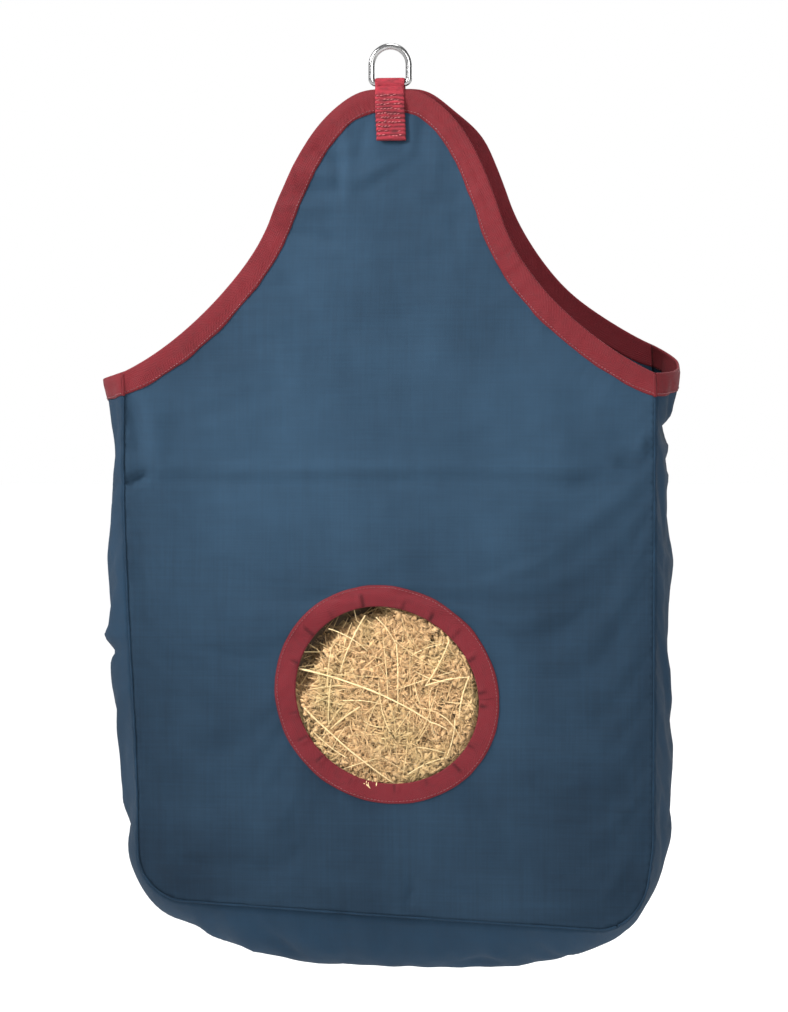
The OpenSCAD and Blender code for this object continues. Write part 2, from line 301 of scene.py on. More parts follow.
def half_gap(z):
    """Half the distance between the panels: full below the shoulders, closing to the hanger above."""
    rise = np.clip((z - SHOULDER_Z) / (TOP_Z - SHOULDER_Z), 0, 1)
    return TOP_GAP + (HALF_DEPTH - TOP_GAP) * (1 - rise ** 1.6)


# Folds of the front: x and z of both ends, then width and height, in millimetres.
FRONT_FOLDS = [
    # the storage crease across the whole panel
    (-264, -421, -120, -424, 7, 1.2), (-140, -424, 60, -420, 7, 1.5), (40, -420, 262, -424, 7, 1.2),
    (-264, -434, -100, -435, 5, -1.1), (-120, -435, 90, -431, 5, -1.4), (60, -431, 262, -436, 6, -1.4),
    # puckers that run in from the mouth tape, left of the hanger
    (-82, -100, -38, -118, 5, -2.2), (-98, -118, -44, -132, 6, 2.2), (-104, -140, -52, -143, 6, -2.4),
    (-112, -158, -58, -160, 7, 1.8), (-116, -178, -42, -196, 7, -2.4), (-46, -70, -36, -150, 7, 2.0),
    (-52, -98, -47, -150, 5, -2.0), (-22, -66, -28, -110, 4, -1.2), (-120, -205, -70, -265, 12, -2.2),
    (-150, -240, -95, -300, 16, 2.0),
    # drag lines from the foot of the hanger
    (24, -104, -40, -136, 6, 1.6), (22, -116, -34, -150, 6, -1.2), (24, -60, 22, -112, 4, 1.6),
    (36, -66, 33, -104, 4, -1.2), (52, -84, 46, -150, 7, 1.3), (74, -118, 70, -200, 10, -1.4),
    # soft upright folds under the right flare
    (150, -240, 170, -330, 18, 2.0), (205, -300, 190, -390, 14, -1.8), (176, -372, 182, -420, 14, 1.6),
    # left side, beside the seam
    (-262, -340, -250, -415, 9, -4.2), (-240, -345, -232, -420, 12, 2.4), (-266, -441, -240, -426, 5, -5.0),
    (-250, -470, -246, -590, 11, -2.0), (-215, -360, -205, -400, 9, -1.2),
    # right side, beside the seam
    (262, -386, 250, -408, 7, 3.6), (258, -426, 226, -414, 7, -3.2), (266, -398, 256, -392, 4, -3.4),
    (222, -432, 178, -436, 9, -2.6), (246, -500, 236, -610, 16, 1.8), (214, -560, 150, -590, 14, -1.6),
    # drag lines round the feed hole
    (-180, -580, -108, -602, 10, 1.8), (-196, -600, -112, -622, 9, -1.6), (-108, -560, -64, -548, 9, -1.6),
    (110, -585, 170, -560, 11, 1.6), (70, -545, 150, -500, 12, -1.6), (-70, -765, -150, -800, 12, 1.4),
    (84, -748, 170, -790, 13, -1.6), (120, -700, 200, -706, 14, 1.2), (-128, -690, -210, -720, 14, -1.4),
    # along the bottom seam
    (27, -834, 20, -868, 4, -2.6), (-242, -842, -206, -856, 7, 2.6), (-228, -830, -170, -838, 9, -1.6),
    (120, -860, 230, -852, 8, 1.6), (226, -850, 238, -800, 8, 1.6), (60, -846, 110, -850, 6, -1.2),
]

# Folds of the back, which hangs against the wall and is flatter.
BACK_FOLDS = [
    (-262, -428, 262, -424, 9, 1.8), (-262, -441, 262, -438, 7, -1.6),
    (-30, -104, -60, -180, 8, -2.0), (28, -104, 66, -190, 9, 2.0), (0, -110, 6, -220, 10, 1.6),
    (-110, -190, -60, -300, 14, 2.0), (120, -200, 80, -310, 14, -2.0), (-200, -330, -150, -420, 15, -2.2),
    (205, -330, 160, -410, 15, 2.2), (-240, -480, -228, -640, 15, 2.2), (244, -500, 232, -660, 15, -2.2),
    (-160, -560, -40, -610, 18, -2.0), (30, -640, 170, -590, 18, 2.0), (-120, -760, 60, -790, 16, 1.8),
    (120, -800, 230, -770, 14, -2.0), (-240, -790, -180, -850, 10, 2.4), (70, -830, 76, -866, 5, -2.2),
]


def mouth_height(x):
    """The mouth curve's height at each x."""
    return np.interp(x, MOUTH[:, 0], MOUTH[:, 1])


def room(x, z, reach):
    """0 on a panel's edge, rising to 1 at a distance of reach inside it."""
    side = HALF_W - np.abs(x)
    slope_way = 0.55 * (mouth_height(x) - z)
    return smooth(np.minimum(np.minimum(side, z - SEAM_Z), slope_way) / reach)


def relief(side, x, z):
    """How far a panel's cloth stands out: the hay behind it, ripples, gathers and folds."""
    # the hay fills out the lower half
    belly = HAY_PUSH * room(x, z, 0.15) * smooth((-0.36 - z) / 0.20)
    shape = belly + 1.0 * MM * room(x, z, 0.05) * ripples(x, z, 0.13, 11 + side)
    shape += 0.35 * MM * room(x, z, 0.02) * ripples(x, z, 0.034, 21 + side)
    # small gathers where the cloth is eased into the seams
    beside_seam = np.exp(-((HALF_W - np.abs(x)) / (14 * MM)) ** 2) * smooth((-0.34 - z) / 0.05)
    above_seam = np.exp(-((z - SEAM_Z) / (12 * MM)) ** 2)
    shape += 0.55 * MM * beside_seam * ripples(0 * x, z, 0.026, 31 + side)
    shape += 0.7 * MM * above_seam * ripples(x, 0 * z, 0.030, 41 + side)
    return shape + PANEL_FOLD_RISE * folds(x, z, FRONT_FOLDS if side == FRONT else BACK_FOLDS)


def place_panel(side, x, z):
    """Where the flat cut's points hang in space, with the folds that the real cloth has."""
    flank = np.clip(np.abs(x) / HALF_W, 0, 1)
    right = smooth((x / HALF_W + 1) / 2)
    low = smooth((-0.56 - z) / 0.30)
    y = side * (half_gap(z) + CANVAS_T / 2 + relief(side, x, z))
    # the left flank leans in towards the bottom, and the bottom seam slants down to the right
    new_x = x + 5 * MM * smooth((-0.24 - z) / 0.12)
    new_x = new_x + 13 * MM * (1 - right) * flank * smooth((-0.42 - z) / 0.40)
    new_x = new_x - 9 * MM * right * flank * smooth((-0.78 - z) / 0.09)
    new_z = z + (4 * MM - 0.046 * x) * low
    # the weight of the hay drags the feed hole down and to the right
    drag = np.exp(-((x - HOLE_X) ** 2 + (z - HOLE_Z) ** 2) / (150 * MM) ** 2) * (side == FRONT)
    new_x = new_x + HOLE_DRAG_X * drag
    new_z = new_z + HOLE_DRAG_Z * drag
    # the hanger holds the dome's shoulders up
    near_dome = smooth(1 - (mouth_height(x) - z) / 0.08)
    new_z = new_z + 2.6 * MM * near_dome * np.exp(-((np.abs(x) - 30 * MM) / (22 * MM)) ** 2)
    # the back's mouth hangs a little higher than the front's, most of all on the right
    if side == BACK:
        near_mouth = smooth(1 - (mouth_height(x) - z) / 0.22) * smooth((TOP_Z - z) / 0.085)
        new_z = new_z + 3.5 * MM * near_dome * np.exp(-((x - 42 * MM) / (20 * MM)) ** 2)
        raise_by = 8 + 22 * right - 2 * smooth((x - 0.12) / 0.07) - 8 * np.exp(-((x - 0.165) / 0.05) ** 2)
        new_z = new_z + raise_by * MM * near_mouth
        new_x = new_x - 9 * MM * smooth((x / HALF_W - 0.55) / 0.45) * smooth((z + 0.46) / 0.1)
    return np.stack([new_x, y, new_z], axis=-1)


# How far the gusset bulges out, by height on each side and by x along the bottom.
LEFT_BOW = np.array([(-850, 20), (-805, 20), (-712, 28), (-653, 32), (-608, 33), (-598, 34), (-500, 26),
                     (-427, 21), (-390, 21), (-352, 26), (-330, 32)]) * MM
RIGHT_BOW = np.array([(-850, 4), (-795, 12), (-640, 13), (-450, 9), (-425, 12), (-405, 7), (-390, 9),
                      (-375, 15), (-352, 20), (-330, 25)]) * MM
BELLY = np.array([(-268, 23), (-225, 30), (-190, 44), (-150, 60), (-80, 64), (70, 58), (130, 51),
                  (175, 43), (215, 27), (240, 13), (268, 5)]) * MM


def gusset_bow(x, z):
    """How far the gusset's middle stands out from the seams."""
    side_bow = np.where(x < 0, np.interp(z, LEFT_BOW[:, 0], LEFT_BOW[:, 1]),
                        np.interp(z, RIGHT_BOW[:, 0], RIGHT_BOW[:, 1]))
    belly_bow = np.interp(x, BELLY[:, 0], BELLY[:, 1])
    share = smooth((z - SEAM_Z) / CORNER_R)
    return share * side_bow + (1 - share) * belly_bow


# Folds of the gusset's upright sides: y and z of both ends, then width and height.
LEFT_FOLDS = [
    (-60, -596, 40, -604, 9, 3.5), (-62, -612, 46, -618, 8, -4.5), (-64, -436, -30, -452, 6, -3.0),
    (-50, -345, -30, -430, 10, -2.6), (20, -350, 28, -470, 11, 2.6), (-20, -480, -6, -580, 12, 2.0),
    (-40, -650, 10, -720, 12, -2.4), (30, -640, 44, -780, 12, 2.0), (-50, -760, 20, -810, 9, 2.4),
]
RIGHT_FOLDS = [
    (-62, -384, 30, -394, 7, -5.0), (-60, -404, 36, -412, 7, 4.0), (-60, -418, 20, -430, 6, -4.0),
    (-40, -345, -24, -380, 9, -2.4), (10, -440, 22, -560, 12, 2.0), (-40, -470, -34, -600, 11, -2.2),
    (-20, -640, 30, -720, 12, 2.4), (-52, -700, -30, -820, 11, -2.0), (-58, -506, 10, -520, 7, 2.0),
]
# Folds of the gusset under the bag: x and y of both ends, then width and height.
BELLY_FOLDS = [
    (-150, -62, -96, -28, 6, -4.0), (-120, -66, -60, -40, 7, 3.0), (-60, -40, 60, -48, 10, 2.5),
    (20, -20, 150, -34, 10, -3.0), (80, -60, 130, -30, 7, 2.4), (-180, -20, -80, 20, 12, -3.0),
    (-40, 20, 100, 44, 12, 2.6), (140, -60, 190, -10, 8, -2.6), (-210, -50, -180, 0, 9, 2.4),
    (0, -66, -10, -48, 5, -2.0), (50, -66, 46, -46, 5, -1.8),
]


def place_gusset(s, v):
    """Where the gusset's points hang. s runs along the seam, v from -1 at the front to 1 at the back."""
    x, z = along_line(SEAM, s).T
    front = place_panel(FRONT, x, z)
    back = place_panel(BACK, x, z)
    cx, cz = HALF_W - CORNER_R, SEAM_Z + CORNER_R
    past_side = np.where(np.abs(x) > cx, x - np.sign(x) * cx, 0)
    outwards = unit(np.stack([past_side, np.where(z < cz, z - cz, 0)], axis=-1))
    share = ((v + 1) / 2)[..., None]
    points = front * (1 - share) + back * share
    full = 1 - np.abs(v) ** 2.2
    stand = gusset_bow(x, z) * full
    y = points[..., 1]
    upright = smooth((z - SEAM_Z) / CORNER_R)
    side_folds = np.where(x < 0, folds(y, z, LEFT_FOLDS), folds(y, z, RIGHT_FOLDS))
    stand = stand + upright * full * SIDE_FOLD_RISE * side_folds
    stand = stand + (1 - upright) * full * BELLY_FOLD_RISE * folds(x, y, BELLY_FOLDS)
    stand = stand + 1.6 * MM * full * ripples(s, y, 0.07, 51) + 0.5 * MM * full * ripples(s, y, 0.03, 52)
    points[..., 0] += outwards[..., 0] * stand
    points[..., 2] += outwards[..., 1] * stand
    # between the seams, the gusset's open ends hang a little lower
    near_end = smooth((z - CORNER_Z + 80 * MM) / (80 * MM))
    points[..., 2] -= np.where(x < 0, 11 * MM, 7 * MM) * near_end * (1 - v ** 2)
    return points


# ---- sheets of cloth ----

class Skin:
    """A sheet: its flat cut, its triangles and where its middle surface lies in space."""

    def __init__(self, flat, faces, points, outwards):
        self.flat = flat
        self.faces = faces
        self.points = points
        self.measure()
        if np.sum(self.normals * outwards) < 0:
            self.faces = faces[:, ::-1]
            self.measure()
        corners = [(a, b, 0.0) for a, b in flat]
        self.tree = BVHTree.FromPolygons(corners, [tuple(int(i) for i in f) for f in self.faces])

    def measure(self):
        """Works out the normals at the points."""
        a, b, c = (self.points[self.faces[:, k]] for k in range(3))
        face_normals = np.cross(b - a, c - a)
        normals = np.zeros_like(self.points)
        for k in range(3):
            np.add.at(normals, self.faces[:, k], face_normals)
        self.normals = unit(normals)

    def at(self, places):
        """The positions and normals at places in the flat cut."""
        found = [self.tree.find_nearest((float(a), float(b), 0.0)) for a, b in places]
        p = np.array([f[0][:2] for f in found])
        corners = self.faces[[f[2] for f in found]]
        a, b, c = (self.flat[corners[:, k]] for k in range(3))
        u, v, w = b - a, c - a, p - a
        size = u[:, 0] * v[:, 1] - u[:, 1] * v[:, 0]
        second = (w[:, 0] * v[:, 1] - w[:, 1] * v[:, 0]) / size
        third = (u[:, 0] * w[:, 1] - u[:, 1] * w[:, 0]) / size
        weights = np.stack([1 - second - third, second, third], axis=1)
        position = (self.points[corners] * weights[..., None]).sum(1)
        normal = (self.normals[corners] * weights[..., None]).sum(1)
        return position, unit(normal)


def make_mesh(name, points, faces, uv=None, tone_and_shade=None):
    """A new object from arrays of points and faces, with metres as its UVs and a value per point in its
    'shade' attribute, which holds painted shade and light, and for the hay also each stem's own tone.
    """
    mesh = bpy.data.meshes.new(name)
    mesh.from_pydata([tuple(p) for p in points.tolist()], [], [tuple(f) for f in faces])
    mesh.polygons.foreach_set("use_smooth", [True] * len(mesh.polygons))
    corners = np.zeros(len(mesh.loops), int)
    mesh.loops.foreach_get("vertex_index", corners)
    if uv is not None:
        layer = mesh.uv_layers.new(name="cloth")
        layer.data.foreach_set("uv", uv[corners].astype(np.float32).ravel())
    if tone_and_shade is not None:
        shade = mesh.attributes.new("shade", "FLOAT", "POINT")
        shade.data.foreach_set("value", np.asarray(tone_and_shade, np.float32))
    mesh.update()
    made = bpy.data.objects.new(name, mesh)
    bpy.context.scene.collection.objects.link(made)
    return made


def settle(made, skin, pinned, growth, pressure, gravity, cap):
    """Lets Blender's cloth relax a sheet, held where it is pinned, and keeps the result."""
    group = made.vertex_groups.new(name="sewn")
    group.add([int(i) for i in np.nonzero(pinned)[0]], 1.0, "REPLACE")
    cloth = made.modifiers.new("cloth", "CLOTH")
    settings = cloth.settings
    settings.quality = 5
    settings.mass = 0.25
    settings.tension_stiffness = 40
    settings.compression_stiffness = 40
    settings.shear_stiffness = 15
    settings.bending_stiffness = 2.0
    settings.tension_damping = 12
    settings.compression_damping = 12
    settings.vertex_group_mass = "sewn"
    settings.shrink_min = -growth
    settings.use_pressure = True
    settings.uniform_pressure_force = pressure
    settings.effector_weights.gravity = gravity
    cloth.point_cache.frame_end = CLOTH_FRAMES
    for number in range(1, CLOTH_FRAMES + 1):
        bpy.context.scene.frame_set(number)
    evaluated = made.evaluated_get(bpy.context.evaluated_depsgraph_get())
    moved = np.zeros(len(skin.points) * 3, np.float32)
    evaluated.data.vertices.foreach_get("co", moved)
    made.modifiers.remove(cloth)
    made.vertex_groups.remove(group)
    bpy.context.scene.frame_set(1)
    step = moved.reshape(-1, 3) - skin.points
    length = np.linalg.norm(step, axis=1, keepdims=True)
    skin.points = skin.points + step * (cap * np.tanh(length / cap) / np.maximum(length, 1e-9))
    keep_depth(skin)
    made.data.vertices.foreach_set("co", skin.points.astype(np.float32).ravel())
    made.data.update()


def keep_depth(skin):
    """Eases a sheet back where it stands too far out to the front or the back."""
    y = skin.points[:, 1]
    room_left = np.where(y < 0, FRONT_ROOM, BACK_ROOM)
    over = np.abs(y) - HALF_DEPTH
    eased = HALF_DEPTH + room_left * np.tanh(over / room_left)
    skin.points[:, 1] = np.where(over > 0, np.sign(y) * eased, y)
    skin.measure()


def thicken(made, thickness):
    """Gives a sheet its thickness, the same on both sides."""
    solid = made.modifiers.new("thickness", "SOLIDIFY")
    solid.thickness = thickness
    solid.offset = 0
    return made


def finish_piece(made, node, material):
    """Lets a piece stand for a CAD node, where there is one, and ride on the bag, with a material."""
    made.data.materials.clear()
    made.data.materials.append(material)
    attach(made, "bag")
    if node:
        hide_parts(node)


# ---- materials ----

class Shader:
    """A material with one Principled shader, and short ways to add nodes to it."""

    def __init__(self, title, colour, roughness, **sockets):
        self.material = bpy.data.materials.new(title)
        self.material.use_nodes = True
        self.material.diffuse_color = (*colour, 1)
        self.tree = self.material.node_tree
        self.surface = self.tree.nodes["Principled BSDF"]
        self.surface.inputs["Base Color"].default_value = (*colour, 1)
        self.surface.inputs["Roughness"].default_value = roughness
        by_name = {socket.name.lower(): socket for socket in self.surface.inputs}
        for name, value in sockets.items():
            by_name[name.replace("_", " ")].default_value = value

    def add(self, kind, inputs=None, output=0, **settings):
        """Adds a node and returns one of its outputs."""
        made = self.tree.nodes.new("ShaderNode" + kind)
        for key, value in settings.items():
            setattr(made, key, value)
        for key, value in (inputs or {}).items():
            if isinstance(value, bpy.types.NodeSocket):
                self.tree.links.new(value, made.inputs[key])
            else:
                made.inputs[key].default_value = value
        return made.outputs[output]

    def math(self, operation, a, b=0.0, c=0.0):
        """One step of arithmetic on two or three values."""
        return self.add("Math", {0: a, 1: b, 2: c}, operation=operation)

    def cloth_uv(self):
        """The sheet's own coordinates: along and across, in metres."""
        place = self.add("UVMap", uv_map="cloth")
        return (self.add("SeparateXYZ", {0: place}, output=0), self.add("SeparateXYZ", {0: place}, output=1))

    def wave(self, place, pitch):
        """A sine wave along a coordinate, -1 to 1."""
        return self.math("SINE", self.math("MULTIPLY", place, 2 * math.pi / pitch))

    def noise(self, scale, detail=3.0, roughness=0.5, stretch=(1, 1, 1)):
        """Noise from 0 to 1 over the object's own coordinates."""
        stretched = self.add("Mapping", {0: self.add("TexCoord", output=3), 3: stretch})
        return self.add("TexNoise", {"Vector": stretched, "Scale": scale, "Detail": detail,
                                     "Roughness": roughness}, output=0)

    def ramp(self, value, low, high, to_low=0.0, to_high=1.0):
        """Maps a range of a value onto another range, and stops at its ends."""
        return self.add("MapRange", {0: value, 1: low, 2: high, 3: to_low, 4: to_high})

    def blend(self, share, a, b):
        """Mixes two colours."""
        colours = [c if isinstance(c, bpy.types.NodeSocket) else (*c, 1) for c in (a, b)]
        return self.add("Mix", {0: share, 6: colours[0], 7: colours[1]}, output=2, data_type="RGBA")

    def bump(self, height, strength, distance, below=None):
        """A fine relief, on top of another where below is given."""
        inputs = {"Height": height, "Strength": strength, "Distance": distance}
        if below is not None:
            inputs["Normal"] = below
        return self.add("Bump", inputs)

    def done(self, colour=None, roughness=None, relief=None):
        """Feeds the surface and returns the material."""
        for value, socket in ((colour, "Base Color"), (roughness, "Roughness"), (relief, "Normal")):
            if value is not None:
                self.tree.links.new(value, self.surface.inputs[socket])
        return self.material


def canvas_material(name, light, dark):
    """Tightly woven cotton canvas: a fine plain weave, slubs and uneven dye, darkened by the painted shade
    that the 'shade' attribute carries.
    """
    s = Shader(name, light, 0.88, sheen_weight=0.02, sheen_roughness=0.5, specular_ior_level=0.12)
    along, across = s.cloth_uv()
    pitch = 1.1 * MM
    weave = s.math("MULTIPLY", s.wave(along, pitch), s.wave(across, pitch))
    uneven = s.noise(7.0, 5.0, 0.6)
    slub_a = s.noise(60.0, 2.0, 0.5, stretch=(0.25, 1, 9))
    slub_b = s.noise(60.0, 2.0, 0.5, stretch=(9, 1, 0.25))
    slubs = s.math("ADD", slub_a, slub_b)
    # the 'shade' attribute is painted shade: darker beside the seams, at the panel's sides, top and bottom,
    # and round the feed hole
    shade = s.add("Attribute", attribute_name="shade", output=2)
    streaks = s.noise(9.0, 3.0, 0.5, stretch=(2.4, 1, 0.35))
    uneven = s.math("ADD", uneven, s.math("MULTIPLY_ADD", streaks, 0.3, -0.15))
    tone = s.math("ADD", s.ramp(uneven, 0.2, 0.8, -0.5, 0.5), s.ramp(slubs, 0.7, 1.3, -0.16, 0.16))
    tone = s.math("ADD", tone, s.math("MULTIPLY", weave, 0.06))
    tone = s.math("MULTIPLY_ADD", shade, 0.75, s.math("MULTIPLY", tone, 0.6))
    colour = s.blend(s.ramp(tone, 0.0, 1.0), dark, light)
    coarse = s.bump(s.math("ADD", s.noise(38.0, 3.0, 0.6), s.math("MULTIPLY", slubs, 0.4)), 0.25, 0.6 * MM)
    return s.done(colour, s.ramp(slubs, 0.6, 1.4, 0.78, 0.95), s.bump(weave, 0.5, 0.12 * MM, coarse))


def tape_material(name, light, dark):
    """Woven binding tape: a fine herringbone that turns at the tape's middle."""
    s = Shader(name, light, 0.85, sheen_weight=0.03, sheen_roughness=0.4, specular_ior_level=0.2)
    along, across = s.cloth_uv()
    lean = s.math("ABSOLUTE", s.math("SUBTRACT", across, TAPE_W / 2))
    twill = s.wave(s.math("ADD", along, lean), 2.2 * MM)
    yarns = s.wave(across, 2.0 * MM)
    weave = s.math("MULTIPLY_ADD", yarns, 0.4, twill)
    uneven = s.noise(14.0, 4.0, 0.6)
    fine = s.noise(190.0, 2.0, 0.6)
    # the 'shade' attribute carries painted shade and light: darker tape edges, join and tucks, a lighter fold
    # crest and back leg
    shade = s.add("Attribute", attribute_name="shade", output=2)
    tone = s.math("ADD", s.ramp(uneven, 0.3, 0.7, -0.2, 0.2), s.math("MULTIPLY", weave, 0.12))
    tone = s.math("ADD", tone, s.ramp(fine, 0.3, 0.7, -0.15, 0.15))
    tone = s.math("ADD", tone, s.math("MULTIPLY_ADD", shade, 0.5, 0.5))
    colour = s.blend(s.ramp(tone, 0.0, 1.0), dark, light)
    relief = s.bump(weave, 0.6, 0.18 * MM, s.bump(uneven, 0.2, 0.8 * MM))
    return s.done(colour, s.ramp(fine, 0.2, 0.8, 0.68, 0.9), relief)


def thread_material():
    """Twisted polyester sewing thread."""
    s = Shader("sewing_thread", (0.30, 0.035, 0.06), 0.45, sheen_weight=0.2)
    twist = s.noise(900.0, 1.0, 0.5, stretch=(1, 0.3, 1.6))
    colour = s.blend(s.ramp(twist, 0.35, 0.65), (0.085, 0.008, 0.012), (0.19, 0.022, 0.03))
    return s.done(colour, s.ramp(twist, 0.3, 0.7, 0.35, 0.6), s.bump(twist, 0.5, 0.1 * MM))


def pale_thread_material():
    """The hanger's thread has faded to a pinkish red."""
    s = Shader("faded_thread", (0.62, 0.22, 0.22), 0.5, sheen_weight=0.2)
    wear_and_painted_shade = s.noise(700.0, 2.0, 0.5)
    colour = s.blend(s.ramp(wear_and_painted_shade, 0.3, 0.7), (0.30, 0.03, 0.04), (0.50, 0.14, 0.14))
    return s.done(colour, relief=s.bump(wear_and_painted_shade, 0.4, 0.1 * MM))


def webbing_material():
    """Heavy crimson webbing: ribs of thick weft, lighter on their crests and darker between them, which is
    painted highlight and shade from the 'shade' attribute.
    """
    s = Shader("crimson_webbing", (0.25, 0.012, 0.022), 0.75, sheen_weight=0.03, specular_ior_level=0.25)
    along, across = s.cloth_uv()
    yarns = s.wave(across, 1.0 * MM)
    ticks = s.wave(s.math("MULTIPLY_ADD", across, 0.6, along), 0.9 * MM)
    weave = s.math("MULTIPLY_ADD", ticks, 0.6, yarns)
    uneven = s.noise(120.0, 3.0, 0.6, stretch=(1, 1, 2.5))
    # the 'shade' attribute is painted highlight on the ribs' crests and painted shade in their valleys and on
    # the underside
    shade = s.add("Attribute", attribute_name="shade", output=2)
    tone = s.math("ADD", s.ramp(uneven, 0.3, 0.7, -0.3, 0.3), s.math("MULTIPLY", weave, 0.12))
    tone = s.math("ADD", tone, shade)
    colour = s.blend(s.ramp(tone, 0.0, 1.0), (0.050, 0.002, 0.005), (0.36, 0.024, 0.040))
    relief = s.bump(weave, 0.6, 0.25 * MM, s.bump(uneven, 0.3, 0.5 * MM))
    return s.done(colour, s.ramp(uneven, 0.2, 0.8, 0.55, 0.8), relief)


def steel_material():
    """Nickel-plated steel wire, polished, with fine drawing marks and a little tarnish."""
    s = Shader("plated_steel", (0.80, 0.80, 0.79), 0.2, metallic=1.0)
    marks = s.noise(500.0, 2.0, 0.5, stretch=(0.4, 3, 1))
    tarnish = s.noise(60.0, 4.0, 0.6)
    colour = s.blend(s.ramp(tarnish, 0.35, 0.75), (0.43, 0.43, 0.43), (0.26, 0.256, 0.25))
    roughness = s.math("MULTIPLY_ADD", tarnish, 0.22, s.ramp(marks, 0.3, 0.7, 0.08, 0.16))
    return s.done(colour, roughness, s.bump(marks, 0.12, 0.1 * MM))


def hay_material(name, light, dark):
    """Dry hay: each stem has its own tone, with fibres along it. Some is greenish, and where the 'shade'
    attribute is low the hay is painted near black, as shade in the gaps and deep down.
    """
    s = Shader(name, light, 0.62, sheen_weight=0.1, specular_ior_level=0.35)
    fibres = s.wave(s.cloth_uv()[1], 0.6 * MM)
    spots = s.noise(260.0, 3.0, 0.6)
    shade = s.add("Attribute", attribute_name="shade", output=2)
    tone = s.math("ADD", shade, s.ramp(spots, 0.3, 0.7, -0.2, 0.2))
    tone = s.math("MULTIPLY_ADD", fibres, 0.05, tone)
    darker = tuple(0.12 * c for c in dark)
    pale = s.blend(s.ramp(tone, 0.0, 1.0), dark, light)
    greenish = s.blend(s.ramp(s.noise(22.0, 2.0), 0.45, 0.75, 0.0, 0.7), pale, (0.56, 0.44, 0.19))
    # painted shade: low values go to near black
    colour = s.blend(s.ramp(tone, -1.1, -0.1), darker, greenish)
    relief = s.bump(s.math("ADD", fibres, spots), 0.4, 0.25 * MM)
    return s.done(colour, s.ramp(spots, 0.2, 0.8, 0.5, 0.75), relief)


def floor_material():
    """A matt white floor without gloss."""
    s = Shader("pale_floor", (0.93, 0.93, 0.93), 0.95, specular_ior_level=0.0)
    return s.done(roughness=s.ramp(s.noise(1.5, 2.0), 0.3, 0.7, 0.86, 0.94))


CANVAS = canvas_material("blue_canvas", (0.0241, 0.0537, 0.0904), (0.0080, 0.0185, 0.0330))
# a darker copy of the blue canvas, which paints shade onto the gusset and the seam ridges
SHADED_GUSSET_CANVAS = canvas_material("gusset_canvas", (0.0141, 0.0372, 0.0680), (0.0048, 0.0130, 0.0245))
TAPE = tape_material("maroon_tape", (0.126, 0.0106, 0.0148), (0.046, 0.0033, 0.0055))
# a lighter copy of the maroon tape, which paints light onto the back tape's inner face where the front panel
# shades it
BRIGHTENED_BACK_TAPE = tape_material("back_tape", (0.145, 0.0135, 0.0190), (0.052, 0.0041, 0.0068))
HOLE_TAPE = tape_material("hole_tape", (0.134, 0.0120, 0.0175), (0.046, 0.0036, 0.0060))
THREAD = thread_material()
PALE_THREAD = pale_thread_material()
WEBBING = webbing_material()
STEEL = steel_material()
HAY = hay_material("hay_stems", (0.90, 0.68, 0.36), (0.56, 0.36, 0.15))
CHAFF = hay_material("hay_chaff", (0.86, 0.56, 0.275), (0.44, 0.25, 0.10))


# ---- canvas ----

def edge_shade(flat, hole):
    """Painted shade: the panel is darker at its sides, its bottom and its top, within a few centimetres of
    its edges and round the feed hole's tape, and lightest in its middle.
    """
    x, z = flat[:, 0], flat[:, 1]
    wear_and_painted_shade = 1 - 0.25 * (1 - room(x, z, 0.03))
    wear_and_painted_shade *= 1 - 0.26 * smooth((z + 0.36) / 0.12)
    wear_and_painted_shade *= 1 - 0.20 * smooth((-0.44 - z) / 0.12)
    wear_and_painted_shade *= 1 - 0.50 * smooth((-0.56 - z) / 0.28)
    wear_and_painted_shade *= 1 - 0.48 * smooth((np.abs(x) / HALF_W - 0.35) / 0.6) * smooth((-0.30 - z) / 0.2)
    if hole:
        away = np.hypot(x - HOLE_X, z - HOLE_Z) - HOLE_R - HOLE_TAPE_W
        wear_and_painted_shade -= 0.2 * np.exp(-np.clip(away, 0, 1) / (5 * MM))
    return np.clip(wear_and_painted_shade, 0, 1)


def make_panel(name, side, node):
    """A canvas panel, cut flat, hung in place and relaxed as cloth."""
    outline = np.concatenate([mouth_line(CELL), seam_path(CELL)[-2:0:-1]])
    hole = hole_line(CELL) if side == FRONT else None
    flat, faces = fill_with_triangles(outline, hole, CELL)
    points = place_panel(side, flat[:, 0], flat[:, 1])
    skin = Skin(flat, faces, points, np.array([0, side, 0]))
    made = make_mesh(name, points, skin.faces, flat, edge_shade(flat, side == FRONT))
    x, z = flat[:, 0], flat[:, 1]
    held = room(x, z, 0.03) < 0.02
    held |= mouth_height(x) - z < 8 * MM
    if side == FRONT:
        held |= np.hypot(x - HOLE_X, z - HOLE_Z) < HOLE_R + 6 * MM
    settle(made, skin, held, 0.003, 0.2, 0.4, 3.5 * MM)
    finish_piece(thicken(made, CANVAS_T), node, CANVAS)
    return skin


